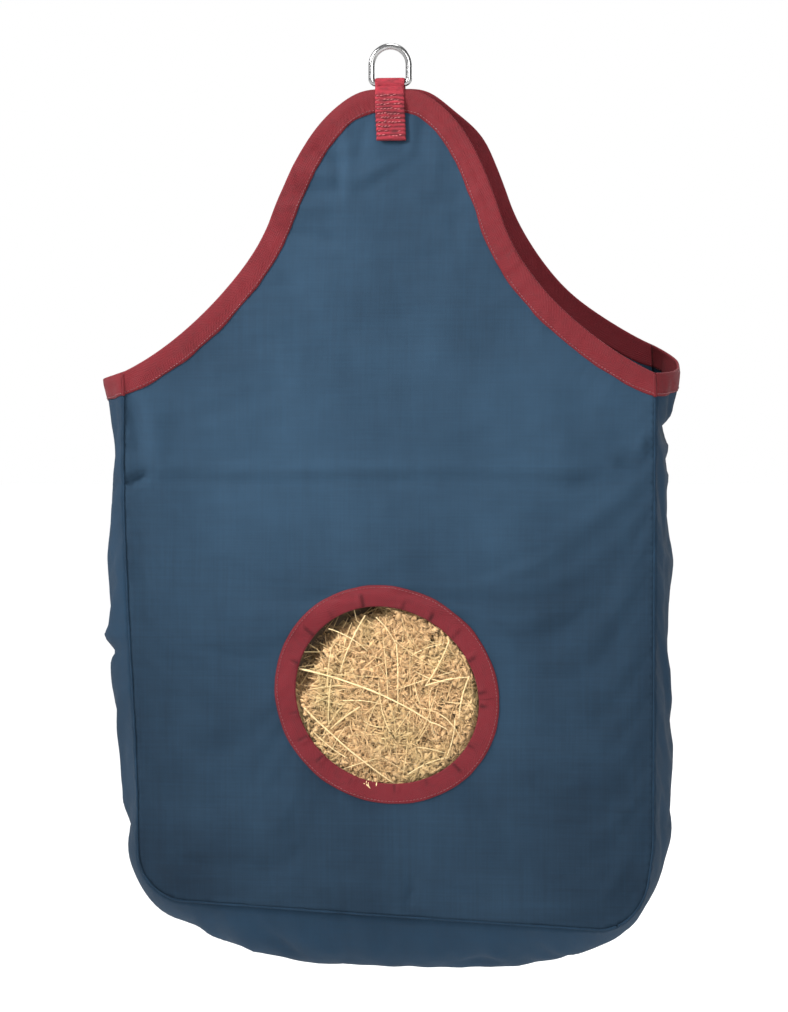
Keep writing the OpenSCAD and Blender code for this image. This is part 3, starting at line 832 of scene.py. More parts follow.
def make_gusset():
    """The gusset: one strip down a side, under the bag and up the other side."""
    length = run_length(SEAM)[-1]
    rows = int(length / CELL) + 1
    columns = int(2 * HALF_DEPTH / CELL) + 1
    s, v = np.meshgrid(np.linspace(0, length, rows), np.linspace(-1, 1, columns), indexing="ij")
    points = place_gusset(s.ravel(), v.ravel())
    flat = np.stack([s.ravel(), v.ravel() * HALF_DEPTH], axis=1)
    i, j = np.meshgrid(np.arange(rows - 1), np.arange(columns - 1), indexing="ij")
    a = (i * columns + j).ravel()
    faces = np.concatenate([np.stack([a, a + 1, a + columns], axis=1),
                            np.stack([a + 1, a + columns + 1, a + columns], axis=1)])
    skin = Skin(flat, faces, points, points - BAG_MIDDLE)
    # painted shade in the creases along both seams
    shade = 1 - 0.45 * np.exp(-(1 - np.abs(v.ravel())) * HALF_DEPTH / (5 * MM))
    made = make_mesh("gusset_canvas", points, skin.faces, flat, shade)
    held = np.abs(v.ravel()) > 0.995
    held |= (s.ravel() < 3 * MM) | (s.ravel() > length - 3 * MM)
    settle(made, skin, held, 0.006, 0.15, 0.5, 4.0 * MM)
    finish_piece(thicken(made, CANVAS_T), "gusset_strip", SHADED_GUSSET_CANVAS)
    return skin


def tube(centres, radii, sides=8):
    """Points and faces of a closed tube. radii has one radius per centre."""
    way = unit(np.gradient(centres, axis=0))
    side = unit(np.cross(way, np.where(np.abs(way[:, :1]) > 0.9, [[0.0, 0, 1.0]], [[1.0, 0, 0]])))
    up = np.cross(side, way)
    a = np.arange(sides) * 2 * math.pi / sides
    ring = side[:, None] * np.cos(a)[None, :, None] + up[:, None] * np.sin(a)[None, :, None]
    points = (centres[:, None] + ring * radii[:, None, None]).reshape(-1, 3)
    rows = len(centres)
    return points, grid_faces(rows, sides, closed_columns=True) + end_caps(rows, sides)


def seam_line(side, line):
    """Where a stretch of the seam's ridge lies in space."""
    points = place_panel(side, line[:, 0], line[:, 1])
    inwards = unit(BAG_MIDDLE - points) * [1, 0, 1]
    return points + inwards * 0.6 * MM + np.array([0, side, 0]) * 0.9 * MM


def make_seam(name, side, node):
    """The folded ridge of canvas that stands up along a panel's seam, puckered by its stitches."""
    line = resample(SEAM, 2.5 * MM)
    line = line[line[:, 1] < CORNER_Z - TAPE_W + 1 * MM]
    s = run_length(line)
    points = seam_line(side, line)
    radii = 1.05 * MM * (1 + 0.16 * np.sin(2 * math.pi * s / (7 * MM)) * ripples(s, 0 * s, 0.05, 61)
                         + 0.12 * ripples(s, 0 * s, 0.02, 62))
    sides = 8
    verts, faces = tube(points, radii, sides)
    along = np.repeat(s, sides)
    uv = np.stack([along, np.tile(np.arange(sides) * 1.2 * MM, len(s))], axis=1)
    shade = 0.75 + 0.2 * ripples(along, 0 * along, 0.03, 63)
    finish_piece(make_mesh(name, verts, faces, uv, np.clip(shade, 0, 1)), node, SHADED_GUSSET_CANVAS)


def make_corner_folds():
    """The tape folded round the tops of the four seams."""
    rings = sides = 12
    z = np.linspace(CORNER_Z + 0.6 * MM, CORNER_Z - TAPE_W, rings)
    radii = 1.75 * MM * np.sin(np.linspace(0.5, math.pi - 0.7, rings)) ** 0.3
    parts = []
    for side in (FRONT, BACK):
        for x in (-HALF_W, HALF_W):
            points = seam_line(side, np.stack([np.full(rings, x), z], axis=1))
            parts.append(tube(points, radii, sides))
    verts, faces = joined(parts)
    uv = [(2 * MM * k, 2 * MM * j) for k in range(rings) for j in range(sides)] * len(parts)
    made = make_mesh("mouth_corner_folds", verts, faces, np.array(uv), np.full(len(verts), 0.85))
    finish_piece(made, None, TAPE)


# ---- bindings ----

class Tape:
    """A tape folded over the edge of a sheet, laid along a line in the sheet's flat cut."""

    def __init__(self, skin, line, inwards, width, closed=False):
        self.skin = skin
        self.line = line
        self.inwards = inwards
        self.width = width
        self.closed = closed
        self.run = run_length(line)

    def layer(self, distance, lift):
        """Points at a distance from the sheet's edge, lifted off its middle surface."""
        place, normal = self.skin.at(self.line + self.inwards * np.reshape(distance, (-1, 1)))
        return place + normal * np.reshape(lift, (-1, 1))

    def uneven(self, wavelength, seed):
        """A random wave along the tape."""
        return ripples(self.run, 0 * self.run, wavelength, seed)

    def build(self, name, node, pleats=None, material=TAPE):
        """The folded tape: the front leg, the rounded fold over the edge and the back leg."""
        n = len(self.line)
        steps = 9
        lift = (CANVAS_T + TAPE_T) / 2
        wander = 0.8 * MM * self.uneven(0.045, 71) + 0.3 * MM * self.uneven(0.018, 70)
        if self.closed:
            wander = wander * 0.6
        rows, across, shades = [], [], []
        for k in range(steps + 1):
            share = 1 - k / steps
            distance = share * (self.width + wander)
            puffed = 0.5 * MM * math.sin(math.pi * min(1, share * 1.02))
            rise = lift + puffed * (0.6 + 0.4 * self.uneven(0.05, 72 + k // 4))
            # painted shade: the front leg is darker along both its edges
            tone = np.full(n, 0.85 if 0.08 < share < 0.96 else 0.62)
            if pleats is not None:
                dip, dark = pleats(self.run, share)
                rise = rise + dip
                tone = tone - dark
            rows.append(self.layer(distance, rise))
            across.append(share * self.width)
            shades.append(tone)
        edge, normal = self.skin.at(self.line)
        near, _ = self.skin.at(self.line + self.inwards * 2 * MM)
        outwards = unit(edge - near)
        for angle in (60, 30, 0, -30, -60):
            c, s = math.cos(math.radians(angle)), math.sin(math.radians(angle))
            rows.append(edge + outwards * lift * c + normal * lift * s)
            across.append(-lift * (90 - angle) / 90)
            shades.append(np.full(n, 0.95))
        # painted light: the back leg is lighter than the front leg, which lifts the back tape's inner face
        # out of its shade
        for k in range(steps + 1):
            share = k / steps
            rows.append(self.layer(share * (self.width - 1 * MM + wander), -lift))
            across.append(share * self.width)
            shades.append(np.full(n, 1.0))
        points = np.stack(rows, axis=1)
        count = points.shape[1]
        uv = np.stack([np.broadcast_to(self.run[:, None], (n, count)),
                       np.broadcast_to(np.array(across)[None, :], (n, count))], axis=-1)
        faces = grid_faces(n, count, closed_rows=self.closed)
        shade = np.stack(shades, axis=1).ravel()
        made = make_mesh(name, points.reshape(-1, 3), faces, uv.reshape(-1, 2), shade)
        thicken(made, TAPE_T)
        finish_piece(made, node, material)

    def stitches(self, name, node, inset=2.4 * MM):
        """A row of stitches near the tape's inner edge."""
        row = self.layer(self.width - inset, (CANVAS_T + TAPE_T) / 2 + TAPE_T / 2 + 0.25 * MM)
        if self.closed:
            row = np.concatenate([row, row[:1]])
        make_stitches(name, row, node)


def make_stitches(name, row, node):
    """Separate stitches along a line, each a short rounded piece of thread."""
    length = run_length(row)[-1]
    count = int(length / STITCH_PITCH)
    bulge = np.array([0.25, 0.8, 1.0, 1.0, 0.8, 0.25])
    depth = np.array([-0.9, -0.2, 0.0, 0.0, -0.2, -0.9])
    parts = []
    for i in range(count):
        at = (i + STITCH_GAP / 2 + np.linspace(0, 1 - STITCH_GAP, len(bulge))) * length / count
        centres = along_line(row, at)
        centres += unit(centres.mean(0) * [0.0, 1.0, 0.0]) * (depth * THREAD_R)[:, None]
        parts.append(tube(centres, THREAD_R * bulge, sides=6))
    finish_piece(make_mesh(name, *joined(parts)), node, THREAD)


def side_ways(line, closed=False):
    """The unit normals to the left of a flat line's run."""
    if closed:
        way = np.roll(line, -1, axis=0) - np.roll(line, 1, axis=0)
    else:
        way = np.gradient(line, axis=0)
    way = unit(way)
    return np.stack([-way[:, 1], way[:, 0]], axis=1)


def mouth_marks(line):
    """What breaks the even run of a mouth tape: its join, a lengthwise fold and gathers by the hanger. The
    join's step and the gathers' valleys get painted shade, and the fold's crest a painted highlight.
    """
    run = run_length(line)
    join, fold_start, fold_end = np.interp([131 * MM, 30 * MM, 118 * MM], line[:, 0], run)
    gather_start, gather_end = np.interp([-46 * MM, -14 * MM], line[:, 0], run)

    def shape(run, share):
        on_top = smooth((run - join) / (0.8 * MM)) * smooth((join + 17 * MM - run) / (5 * MM))
        along = smooth((run - fold_start) / (15 * MM)) * smooth((fold_end - run) / (30 * MM))
        crest = math.exp(-((share - 0.62) / 0.10) ** 2) - 0.6 * math.exp(-((share - 0.40) / 0.12) ** 2)
        gathered = smooth((run - gather_start) / (5 * MM)) * smooth((gather_end - run) / (5 * MM))
        gathers = gathered * np.sin(run * 2 * math.pi / (6.5 * MM) + 2 * share)
        lift = 1.1 * MM * on_top + 0.7 * MM * along * crest + 0.35 * MM * gathers * share
        # painted shadow at the join and painted shade in the gathers' valleys; below, a painted highlight on
        # the fold's crest
        dark = 0.5 * np.exp(-((run - join) / (1.2 * MM)) ** 2) + 0.12 * gathered * (1 - gathers)
        return lift, dark - 0.15 * along * max(0, crest)

    return shape


def mouth_tape(name, skin, side):
    """The tape on a panel's mouth, with its stitching."""
    line = mouth_line(2 * MM)
    inwards = -side_ways(line)
    # at the corners the tape runs down the seam, so its ends are cut upright
    near_end = smooth((np.abs(line[:, 0]) - HALF_W + 26 * MM) / (26 * MM))[:, None]
    inwards = unit(inwards * (1 - near_end) + np.array([0, -1]) * near_end)
    tape = Tape(skin, line, inwards, TAPE_W)
    material = TAPE if side == FRONT else BRIGHTENED_BACK_TAPE
    tape.build(name + "_mouth_tape", name + "_mouth_binding", mouth_marks(line), material=material)
    tape.stitches(name + "_mouth_stitches", name + "_mouth_stitching")


def gusset_tape(name, skin, right):
    """The tape on one of the gusset's two ends."""
    length = run_length(SEAM)[-1]
    reach = HALF_DEPTH - 0.5 * MM
    across = np.linspace(-reach, reach, 48)
    line = np.stack([np.full(48, length if right else 0.0), across], axis=1)
    inwards = np.tile([-1.0 if right else 1.0, 0.0], (48, 1))
    tape = Tape(skin, line, inwards, TAPE_W)
    tape.build(name + "_gusset_tape", name + "_gusset_binding")
    tape.stitches(name + "_gusset_stitches", name + "_gusset_stitching")


def hole_pleats(count, seed):
    """Small tucks that take up the spare length on the tape's inner edge, with painted shade in their
    valleys.
    """
    rng = np.random.default_rng(seed)
    total = 2 * math.pi * HOLE_R
    places = (np.arange(count) + rng.uniform(-0.28, 0.28, count)) * total / count
    depths = rng.uniform(0.6, 1.8, count)
    reaches = rng.uniform(0.45, 0.85, count)

    def shape(run, share):
        dip, dark = np.zeros(len(run)), np.zeros(len(run))
        for place, depth, reach in zip(places, depths, reaches):
            away = (run - place + total / 2) % total - total / 2
            fade = smooth((reach - share) / 0.35)
            valley = np.exp(-(away / (1.7 * MM)) ** 2)
            ridge = np.exp(-((away - 3.2 * MM) / (2.2 * MM)) ** 2)
            dip += (0.9 * ridge - 0.12 * valley) * depth * MM * fade
            # painted shade in each tuck's valley
            dark += 1.6 * valley * fade * min(1, depth / 1.3)
        return dip, dark

    return shape


def hole_tape(skin):
    """The tape round the feed hole, eased in small pleats, with its stitching."""
    line = hole_line(1.5 * MM)
    inwards = -side_ways(line, closed=True)
    tape = Tape(skin, line, inwards, HOLE_TAPE_W, closed=True)
    tape.build("feed_hole_tape", "feed_hole_binding", hole_pleats(17, 5), material=HOLE_TAPE)
    tape.stitches("feed_hole_stitches", "feed_hole_stitching", inset=2.6 * MM)


# ---- hanger ----

RIB_PITCH = 4.6 * MM


def strap_line():
    """The strap's middle line in the YZ plane, up the front leg, over the bar and down the back leg."""
    bar_z = ring_low.z + WIRE_R
    r = WIRE_R + BAR_CLEARANCE + STRAP_T / 2
    neck_z = tape_high.z + 1.2 * MM

    def leg(z):
        on_tape = smooth((z - tape_high.z + TAPE_W + 5 * MM) / (4 * MM)) * TAPE_T
        return half_gap(z) + CANVAS_T + on_tape + 0.5 * MM + STRAP_T / 2

    heights = np.linspace(strap_low.z, neck_z, 60)
    front = np.stack([leg(heights), heights], axis=1)
    turn = np.linspace(-0.2, 1.2, 26) * math.pi
    over = np.stack([r * np.cos(turn), bar_z + r * np.sin(turn)], axis=1)
    line = np.concatenate([front * [-1, 1], over[::-1], front[::-1]])
    return resample(line, 0.8 * MM)


def strap_slant(line):
    """The front leg is sewn on a little askew."""
    return 4 * MM * smooth((ring_low.z - line[:, 1]) / (70 * MM)) * (line[:, 0] < 0)


def make_strap():
    """The webbing hanger, ribbed where it is sewn down, smooth where it turns round the bar."""
    line = strap_line()
    run = run_length(line)
    ways = unit(np.gradient(line, axis=0))
    outwards = np.stack([-ways[:, 1], ways[:, 0]], axis=1)
    z = line[:, 1]
    sewn = smooth((tape_high.z - 2 * MM - z) / (3 * MM))
    half = STRAP_HALF_W
    slant = strap_slant(line)
    columns = np.array([-1, -0.985, -0.93, -0.8, -0.6, -0.4, -0.2, 0, 0.2, 0.4, 0.6, 0.8, 0.93, 0.985, 1])
    phase = 2 * math.pi * (z - strap_low.z) / RIB_PITCH
    top_rows, shades, uv = [], [], []
    for c in columns:
        beside = np.full_like(run, c * half)
        wobble = 0.3 * MM * ripples(run, beside, 0.02, 81)
        uneven_phase = phase + 0.8 * ripples(run, beside, 0.020, 83) + 0.7 * ripples(run, 0 * run, 0.014, 84)
        rib = (0.5 - 0.5 * np.cos(uneven_phase)) ** 0.7 * (0.8 + 0.3 * ripples(run, beside, 0.03, 85))
        crown = (1.0 * rib + 0.1) * MM * sewn + wobble * sewn
        thick = 1.0 * MM * math.sqrt(max(0.02, 1 - abs(c) ** 14)) + crown * (1 - 0.5 * abs(c) ** 6)
        width = half + 0.35 * MM * np.sin(phase) * sewn + 0.3 * MM * ripples(run, 0 * run, 0.03, 82)
        top_rows.append(np.stack([c * width + slant, line[:, 0] + outwards[:, 0] * thick,
                                  line[:, 1] + outwards[:, 1] * thick], axis=1))
        # painted highlight on the ribs' crests and painted shade in the valleys between them; the loop round
        # the bar gets an even, lighter tone
        shades.append(0.50 + sewn * (0.60 * rib - 0.34) + (1 - sewn) * 0.22)
        uv.append(np.stack([run, np.full_like(run, c * half)], axis=1))
    for c in columns[::-1]:
        thick = -1.0 * MM * math.sqrt(max(0.02, 1 - abs(c) ** 14))
        top_rows.append(np.stack([c * half + slant, line[:, 0] + outwards[:, 0] * thick,
                                  line[:, 1] + outwards[:, 1] * thick], axis=1))
        # painted shade on the underside, which lies against the cloth
        shades.append(np.full_like(run, 0.4))
        uv.append(np.stack([run, np.full_like(run, c * half)], axis=1))
    points = np.stack(top_rows, axis=1)
    n, count = points.shape[:2]
    faces = grid_faces(n, count, closed_columns=True) + end_caps(n, count)
    made = make_mesh("hanger_strap", points.reshape(-1, 3), faces, np.stack(uv, axis=1).reshape(-1, 2),
                     np.stack(shades, axis=1).ravel())
    finish_piece(made, "hanger_webbing", WEBBING)
    return line, outwards


def make_strap_stitches(line, outwards):
    """Rows of stitching pulled down into the valleys between the ribs."""
    parts = []
    z = line[:, 1]
    rows = np.arange(strap_low.z + RIB_PITCH, tape_high.z - 3 * MM, RIB_PITCH)
    rng = np.random.default_rng(9)
    for side in (FRONT, BACK):
        half = np.nonzero(np.sign(line[:, 0]) == side)[0]
        for row_z in rows:
            i = half[np.argmin(np.abs(z[half] - row_z))]
            for start in np.arange(-13, 10.5, 3.4) * MM + strap_slant(line)[i]:
                if rng.uniform() < 0.25:
                    continue
                x = np.linspace(start, start + rng.uniform(2.2, 3.2) * MM, 5) + rng.uniform(-0.4, 0.4) * MM
                lift = 1.75 * MM + np.array([-0.5, 0, 0.1, 0, -0.5]) * MM
                base = line[i] + outwards[i] * lift[:, None]
                slant = np.linspace(-0.3, 0.3, 5) * MM + rng.uniform(-0.8, 0.8) * MM
                centres = np.stack([x, base[:, 0], base[:, 1] + slant], axis=1)
                parts.append(tube(centres, np.array([0.25, 0.50, 0.56, 0.50, 0.25]) * MM, sides=6))
    finish_piece(make_mesh("hanger_stitches", *joined(parts)), "hanger_stitching", PALE_THREAD)


def dress_ring(ring):
    """The frame's own ring, smooth and plated."""
    ring.data.materials.clear()
    ring.data.materials.append(STEEL)
    ring.data.polygons.foreach_set("use_smooth", [True] * len(ring.data.polygons))


# ---- hay ----

def stems(name, centres, along, up, lengths, widths, flatness, tones, bend, material, seed, steps=5, sides=5):
    """Many thin curved stems as one mesh. Each row of the arrays is one stem."""
    rng = np.random.default_rng(seed)
    n = len(centres)
    t = np.linspace(-0.5, 0.5, steps + 1)
    along = unit(along)
    side = unit(np.cross(along, up))
    up = np.cross(side, along)
    curve_side = (rng.normal(0, 1, n) * bend)[:, None, None]
    curve_up = (rng.normal(0, 0.35, n) * bend)[:, None, None]
    reach = lengths[:, None, None]
    arc = (t ** 2)[None, :, None]
    path = (centres[:, None] + along[:, None] * reach * t[None, :, None]
            + side[:, None] * reach * curve_side * arc + up[:, None] * reach * curve_up * arc)
    taper = (1 - 2.0 * np.abs(t + 0.03) ** 2)[None, :, None, None]
    angle = np.arange(sides) * 2 * math.pi / sides
    ring = (side[:, None, None] * np.cos(angle)[None, None, :, None]
            + up[:, None, None] * (np.sin(angle)[None, None, :, None] * flatness[:, None, None, None]))
    points = path[:, :, None] + ring * widths[:, None, None, None] * taper
    points[..., 1] = np.maximum(points[..., 1], -HALF_DEPTH - 7 * MM)
    i, j = np.meshgrid(np.arange(steps), np.arange(sides), indexing="ij")
    a = (i * sides + j).ravel()
    b = (i * sides + (j + 1) % sides).ravel()
    quads = np.stack([a, b, b + sides, a + sides], axis=1)
    offsets = (np.arange(n) * (steps + 1) * sides)[:, None, None]
    faces = (quads[None] + offsets).reshape(-1, 4)
    caps = np.array([np.arange(sides)[::-1], steps * sides + np.arange(sides)])
    cap_faces = (caps[None] + offsets).reshape(-1, sides)
    faces = faces.tolist() + cap_faces.tolist()
    uv = np.zeros((n, steps + 1, sides, 2))
    uv[..., 0] = reach * (t[None, :, None] + 0.5)
    uv[..., 1] = angle[None, None, :] * widths[:, None, None]
    shade = np.repeat(tones, (steps + 1) * sides)
    made = make_mesh(name, points.reshape(-1, 3), faces, uv.reshape(-1, 2), shade)
    finish_piece(made, None, material)


def hay_outline(z):
    """Half the hay's width and depth at each height, inside the canvas."""
    low = smooth((z - hay_low.z) / (60 * MM))
    high = smooth((hay_high.z - z) / (90 * MM))
    a = (HALF_W - 22 * MM) * (0.62 + 0.38 * low) * (0.78 + 0.22 * high)
    b = (HALF_DEPTH - 9 * MM) * (0.25 + 0.75 * low) * (0.3 + 0.7 * high)
    return a, b


def make_hay_clump():
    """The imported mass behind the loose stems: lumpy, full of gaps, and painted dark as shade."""
    levels, sides = 150, 260
    z = np.linspace(hay_low.z + 4 * MM, hay_high.z, levels)
    a, b = hay_outline(z)
    angle = np.arange(sides) * 2 * math.pi / sides
    c, s = np.cos(angle), np.sin(angle)
    x = a[:, None] * (np.sign(c) * np.abs(c) ** 0.45)[None]
    y = b[:, None] * (np.sign(s) * np.abs(s) ** 0.45)[None]
    height = np.broadcast_to(z[:, None], x.shape)
    lumps = 2.6 * ripples(x + y * 0.7, height, 0.05, 91) + 1.6 * ripples(x - y * 0.7, height, 0.018, 92)
    scale = 1 - np.clip(2.5 - lumps, 0, 9)[..., None] * MM / 0.06 * 0.5
    points = np.stack([x, y, height], axis=-1)
    points[..., 1] *= scale[..., 0]
    points[..., 0] *= 1 - (1 - scale[..., 0]) * 0.2
    # behind the feed hole the mass is pulled out, and painted darker there as shade in the hollow
    from_hole = np.hypot(points[..., 0] - HOLE_X, points[..., 2] - HOLE_Z) / HOLE_R
    hollow_and_shade = smooth(1.5 - from_hole) * (points[..., 1] < 0)
    points[..., 1] += hollow_and_shade * np.minimum(26 * MM, -0.6 * points[..., 1])
    crown = points[-1] * [0.6, 0.6, 1] + [0, 0, 6 * MM]
    tips = [[0, 0, hay_high.z + 8 * MM], [0, 0, hay_low.z + 2 * MM]]
    grid = np.concatenate([points.reshape(-1, 3), crown, tips])
    faces = grid_faces(levels + 1, sides, closed_columns=True)
    top, bottom = (levels + 1) * sides, (levels + 1) * sides + 1
    faces += [(levels * sides + j, levels * sides + (j + 1) % sides, top) for j in range(sides)]
    faces += [((j + 1) % sides, j, bottom) for j in range(sides)]
    # painted shade: the whole mass is dark, and darker still in the hollow behind the feed hole
    shade = 0.35 + 0.25 * ripples(grid[:, 0], grid[:, 2], 0.02, 93)
    shade[:hollow_and_shade.size] -= 2.5 * hollow_and_shade.ravel()
    uv = np.stack([grid[:, 0], grid[:, 2]], axis=1)
    made = make_mesh("hay_clump", grid, faces, uv, shade)
    finish_piece(made, "hay_fill", CHAFF)


HOLE_CENTRE = place_panel(FRONT, np.array(HOLE_X), np.array(HOLE_Z))

# Long stems that lie across the hay: x and z of both ends from the hole's centre, in millimetres,
# then how far the middle lies off the straight line, and the stem's radius.
LONG_STEMS = [
    (-90, 29, 44, -22, 7, 1.1), (-87, -8, 9, -87, -3, 1.0), (-23, 84, -48, 27, 2, 0.8),
    (9, 56, 10, -8, 1, 0.7), (38, 14, 83, 23, 2, 0.8), (62, 60, 38, 14, -2, 0.8),
    (82, 24, 72, -18, 2, 0.9), (-57, 20, -60, -26, 1, 0.7), (-28, -8, -58, -31, 1, 0.8),
    (-12, 82, 8, 56, 2, 0.6), (-45, -2, -3, -6, 2, 0.6), (42, -22, 60, -30, 1, 0.8),
    (30, -48, 58, -54, 1, 0.7), (68, -20, 58, -60, -2, 0.7), (-60, 70, -20, 48, 3, 0.6),
    (20, -76, 62, -58, 3, 0.7), (-76, -34, -40, -60, -2, 0.6), (24, 44, 56, 56, 2, 0.6),
]


def rim_gap(angle):
    """How much room lies between the hay and the rim: most at the upper left, hardly any elsewhere."""
    return smooth((np.cos(angle - math.radians(133)) - 0.62) / 0.3)


def in_front(r, angle):
    """How far forward the hay reaches in the feed hole."""
    x, z = r * np.cos(angle), r * np.sin(angle)
    face = HALF_DEPTH + 1 * MM + 4.0 * MM * (1 - (r / HOLE_R) ** 2) + 2.0 * MM * ripples(x, z, 0.05, 102)
    near_rim = smooth((r / HOLE_R - 0.82) / 0.16)
    return face - 26 * MM * near_rim * rim_gap(angle)


def hay_in_hole(name, count, seed, long_stems):
    """Loose hay that fills the feed hole up to the canvas."""
    rng = np.random.default_rng(seed)
    r = (HOLE_R + 12 * MM) * np.sqrt(rng.uniform(0, 1, count))
    a = rng.uniform(0, 2 * math.pi, count)
    way = rng.uniform(0, math.pi, count)
    flake = rng.uniform(0, 1, count) < 0.36
    if long_stems:
        lengths = rng.uniform(25, 75, count) * MM
        widths = rng.uniform(0.35, 0.75, count) * MM
        flatness = rng.uniform(0.5, 1.0, count)
        depth = rng.uniform(0, 1, count) ** 1.3 * 6 * MM
        tilt = rng.normal(0, 0.06, count)
    else:
        lengths = np.minimum(rng.gamma(2.0, 3.4, count) + 2.5, 28) * MM
        widths = np.where(flake, rng.uniform(1.1, 3.4, count), rng.uniform(0.18, 0.70, count)) * MM
        lengths = np.where(flake, rng.uniform(4, 11, count) * MM, lengths)
        flatness = np.where(flake, 0.10, rng.uniform(0.3, 0.8, count))
        depth = rng.uniform(0, 1, count) ** 1.2 * 12 * MM + flake * 1.2 * MM
        tilt = rng.normal(0, 0.20, count)
    # here and there a gap opens between the stems, pushed back and painted dark as shade; deeper stems and
    # the gap by the rim are painted darker as shade too
    dark_patch = smooth((ripples(r * np.cos(a), r * np.sin(a), 0.026, 103) - 0.85) / 0.4)
    tones = np.where(flake, rng.uniform(0.35, 0.85, count), rng.uniform(0.25, 1.1, count))
    in_gap = smooth((r / HOLE_R - 0.82) / 0.16) * rim_gap(a)
    tones = tones - 0.5 * depth / (20 * MM) - 1.2 * np.maximum(dark_patch, in_gap)
    centres = np.stack([r * np.cos(a), -in_front(r, a) + depth + 12 * MM * dark_patch, r * np.sin(a)], axis=1)
    along = np.stack([np.cos(way), tilt, np.sin(way)], axis=1)
    up = np.tile([0.0, -1.0, 0.0], (count, 1)) + rng.normal(0, 0.3, (count, 3))
    # stems that reach past the rim slide back behind the canvas
    outer = np.hypot(*(centres[:, ::2] + 0.5 * (along * lengths[:, None])[:, ::2]).T)
    inner = np.hypot(*(centres[:, ::2] - 0.5 * (along * lengths[:, None])[:, ::2]).T)
    past = np.maximum(outer, inner) - HOLE_R + 2 * MM
    behind = -HALF_DEPTH + 5 * MM + 0.25 * np.clip(past, 0, 1) + np.abs(tilt) * lengths * 0.5
    centres[:, 1] = np.where(past > 0, np.maximum(centres[:, 1], behind), centres[:, 1])
    centres += HOLE_CENTRE * [1, 0, 1]
    stems(name, centres, along, up, lengths, widths, flatness, tones, 0.30 if long_stems else 0.35,
          HAY if long_stems else CHAFF, seed + 2, steps=5 if long_stems else 2, sides=5 if long_stems else 4)


def hay_across_hole(rng):
    """The long pale stems that lie on top, each a bent tube with a knot."""
    rings, sides = 14, 8
    parts, shade = [], []
    for x_start, z_start, x_end, z_end, rise, radius in LONG_STEMS:
        t = np.linspace(0, 1, rings)
        a, b = np.array([x_start, z_start]) * MM, np.array([x_end, z_end]) * MM
        across = unit(np.array([a[1] - b[1], b[0] - a[0]])) * np.sign(b[0] - a[0] + 1e-6)
        flat = a + (b - a) * t[:, None] + across * (4 * t * (1 - t))[:, None] * rise * MM
        r, angle = np.hypot(*flat.T), np.arctan2(flat[:, 1], flat[:, 0])
        y = -in_front(np.minimum(r, HOLE_R * 0.7), angle) - 0.6 * MM
        y = y + 3.5 * MM * smooth((r / HOLE_R - 0.8) / 0.2)
        centres = np.stack([flat[:, 0], y, flat[:, 1]], axis=1) + HOLE_CENTRE * [1, 0, 1]
        knot = 1 + 0.5 * np.exp(-((t - rng.uniform(0.3, 0.7)) / 0.03) ** 2)
        parts.append(tube(centres, radius * 0.9 * MM * knot * (1 - 0.35 * t), sides))
        shade += [rng.uniform(0.85, 1.05)] * (rings * sides)
    verts, faces = joined(parts)
    uv = [(10 * MM * k, 0.7 * MM * j) for k in range(rings) for j in range(sides)] * len(parts)
    finish_piece(make_mesh("hay_long_stems", verts, faces, np.array(uv), np.array(shade)), None, HAY)


def hay_over_rim(rng, count):
    """A little hay spilt over the feed hole's lower rim."""
    angle = math.radians(-104) + rng.normal(0, 0.07, count)
    r = HOLE_R - 1 * MM + rng.uniform(-4, 3, count) * MM
    y = -HALF_DEPTH - rng.uniform(2.2, 5.5, count) * MM
    centres = np.stack([r * np.cos(angle), y, r * np.sin(angle)], axis=1) + HOLE_CENTRE * [1, 0, 1]
    along = np.stack([rng.normal(0, 0.6, count), np.full(count, -0.1), rng.uniform(0.3, 1, count)], axis=1)
    stems("hay_spilt", centres, along, np.tile([0.0, -1.0, 0.0], (count, 1)), rng.uniform(5, 11, count) * MM,
          rng.uniform(0.4, 0.9, count) * MM, np.full(count, 0.5), rng.uniform(0.7, 1.1, count), 0.5, HAY, 133)


def hay_on_top(name, count, seed):
    """Loose hay over the crown, seen through the mouth."""
    rng = np.random.default_rng(seed)
    x = rng.uniform(-1, 1, count) * (HALF_W - 45 * MM)
    y = rng.uniform(-1, 1, count) * (HALF_DEPTH - 32 * MM)
    z = hay_high.z - 12 * MM + rng.uniform(0, 1, count) ** 1.5 * 22 * MM - 60 * MM * np.abs(x / HALF_W) ** 3
    y *= 0.8
    z += 6 * MM * ripples(x, y, 0.09, seed + 1)
    way = rng.uniform(0, math.pi, count)
    along = np.stack([np.cos(way), np.sin(way) * 0.35, rng.normal(0, 0.15, count)], axis=1)
    up = np.tile([0.0, 0.0, 1.0], (count, 1)) + rng.normal(0, 0.3, (count, 3))
    lengths = rng.uniform(12, 62, count) * MM
    stems(name, np.stack([x, y, z], axis=1), along, up, lengths, rng.uniform(0.5, 1.5, count) * MM,
          rng.uniform(0.2, 1.0, count), rng.uniform(0.1, 1.1, count), 0.4, HAY, seed + 2)


# ---- stage ----

def make_floor():
    """A plain pale floor, well below the hanging bag."""
    n = 96
    radius = 16
    angle = np.arange(n) * 2 * math.pi / n
    level = cad_low.z - 0.25
    points = np.stack([radius * np.cos(angle), radius * np.sin(angle), np.full(n, level)], axis=1)
    floor = make_mesh("floor", points, [tuple(range(n))])
    floor.data.materials.append(floor_material())


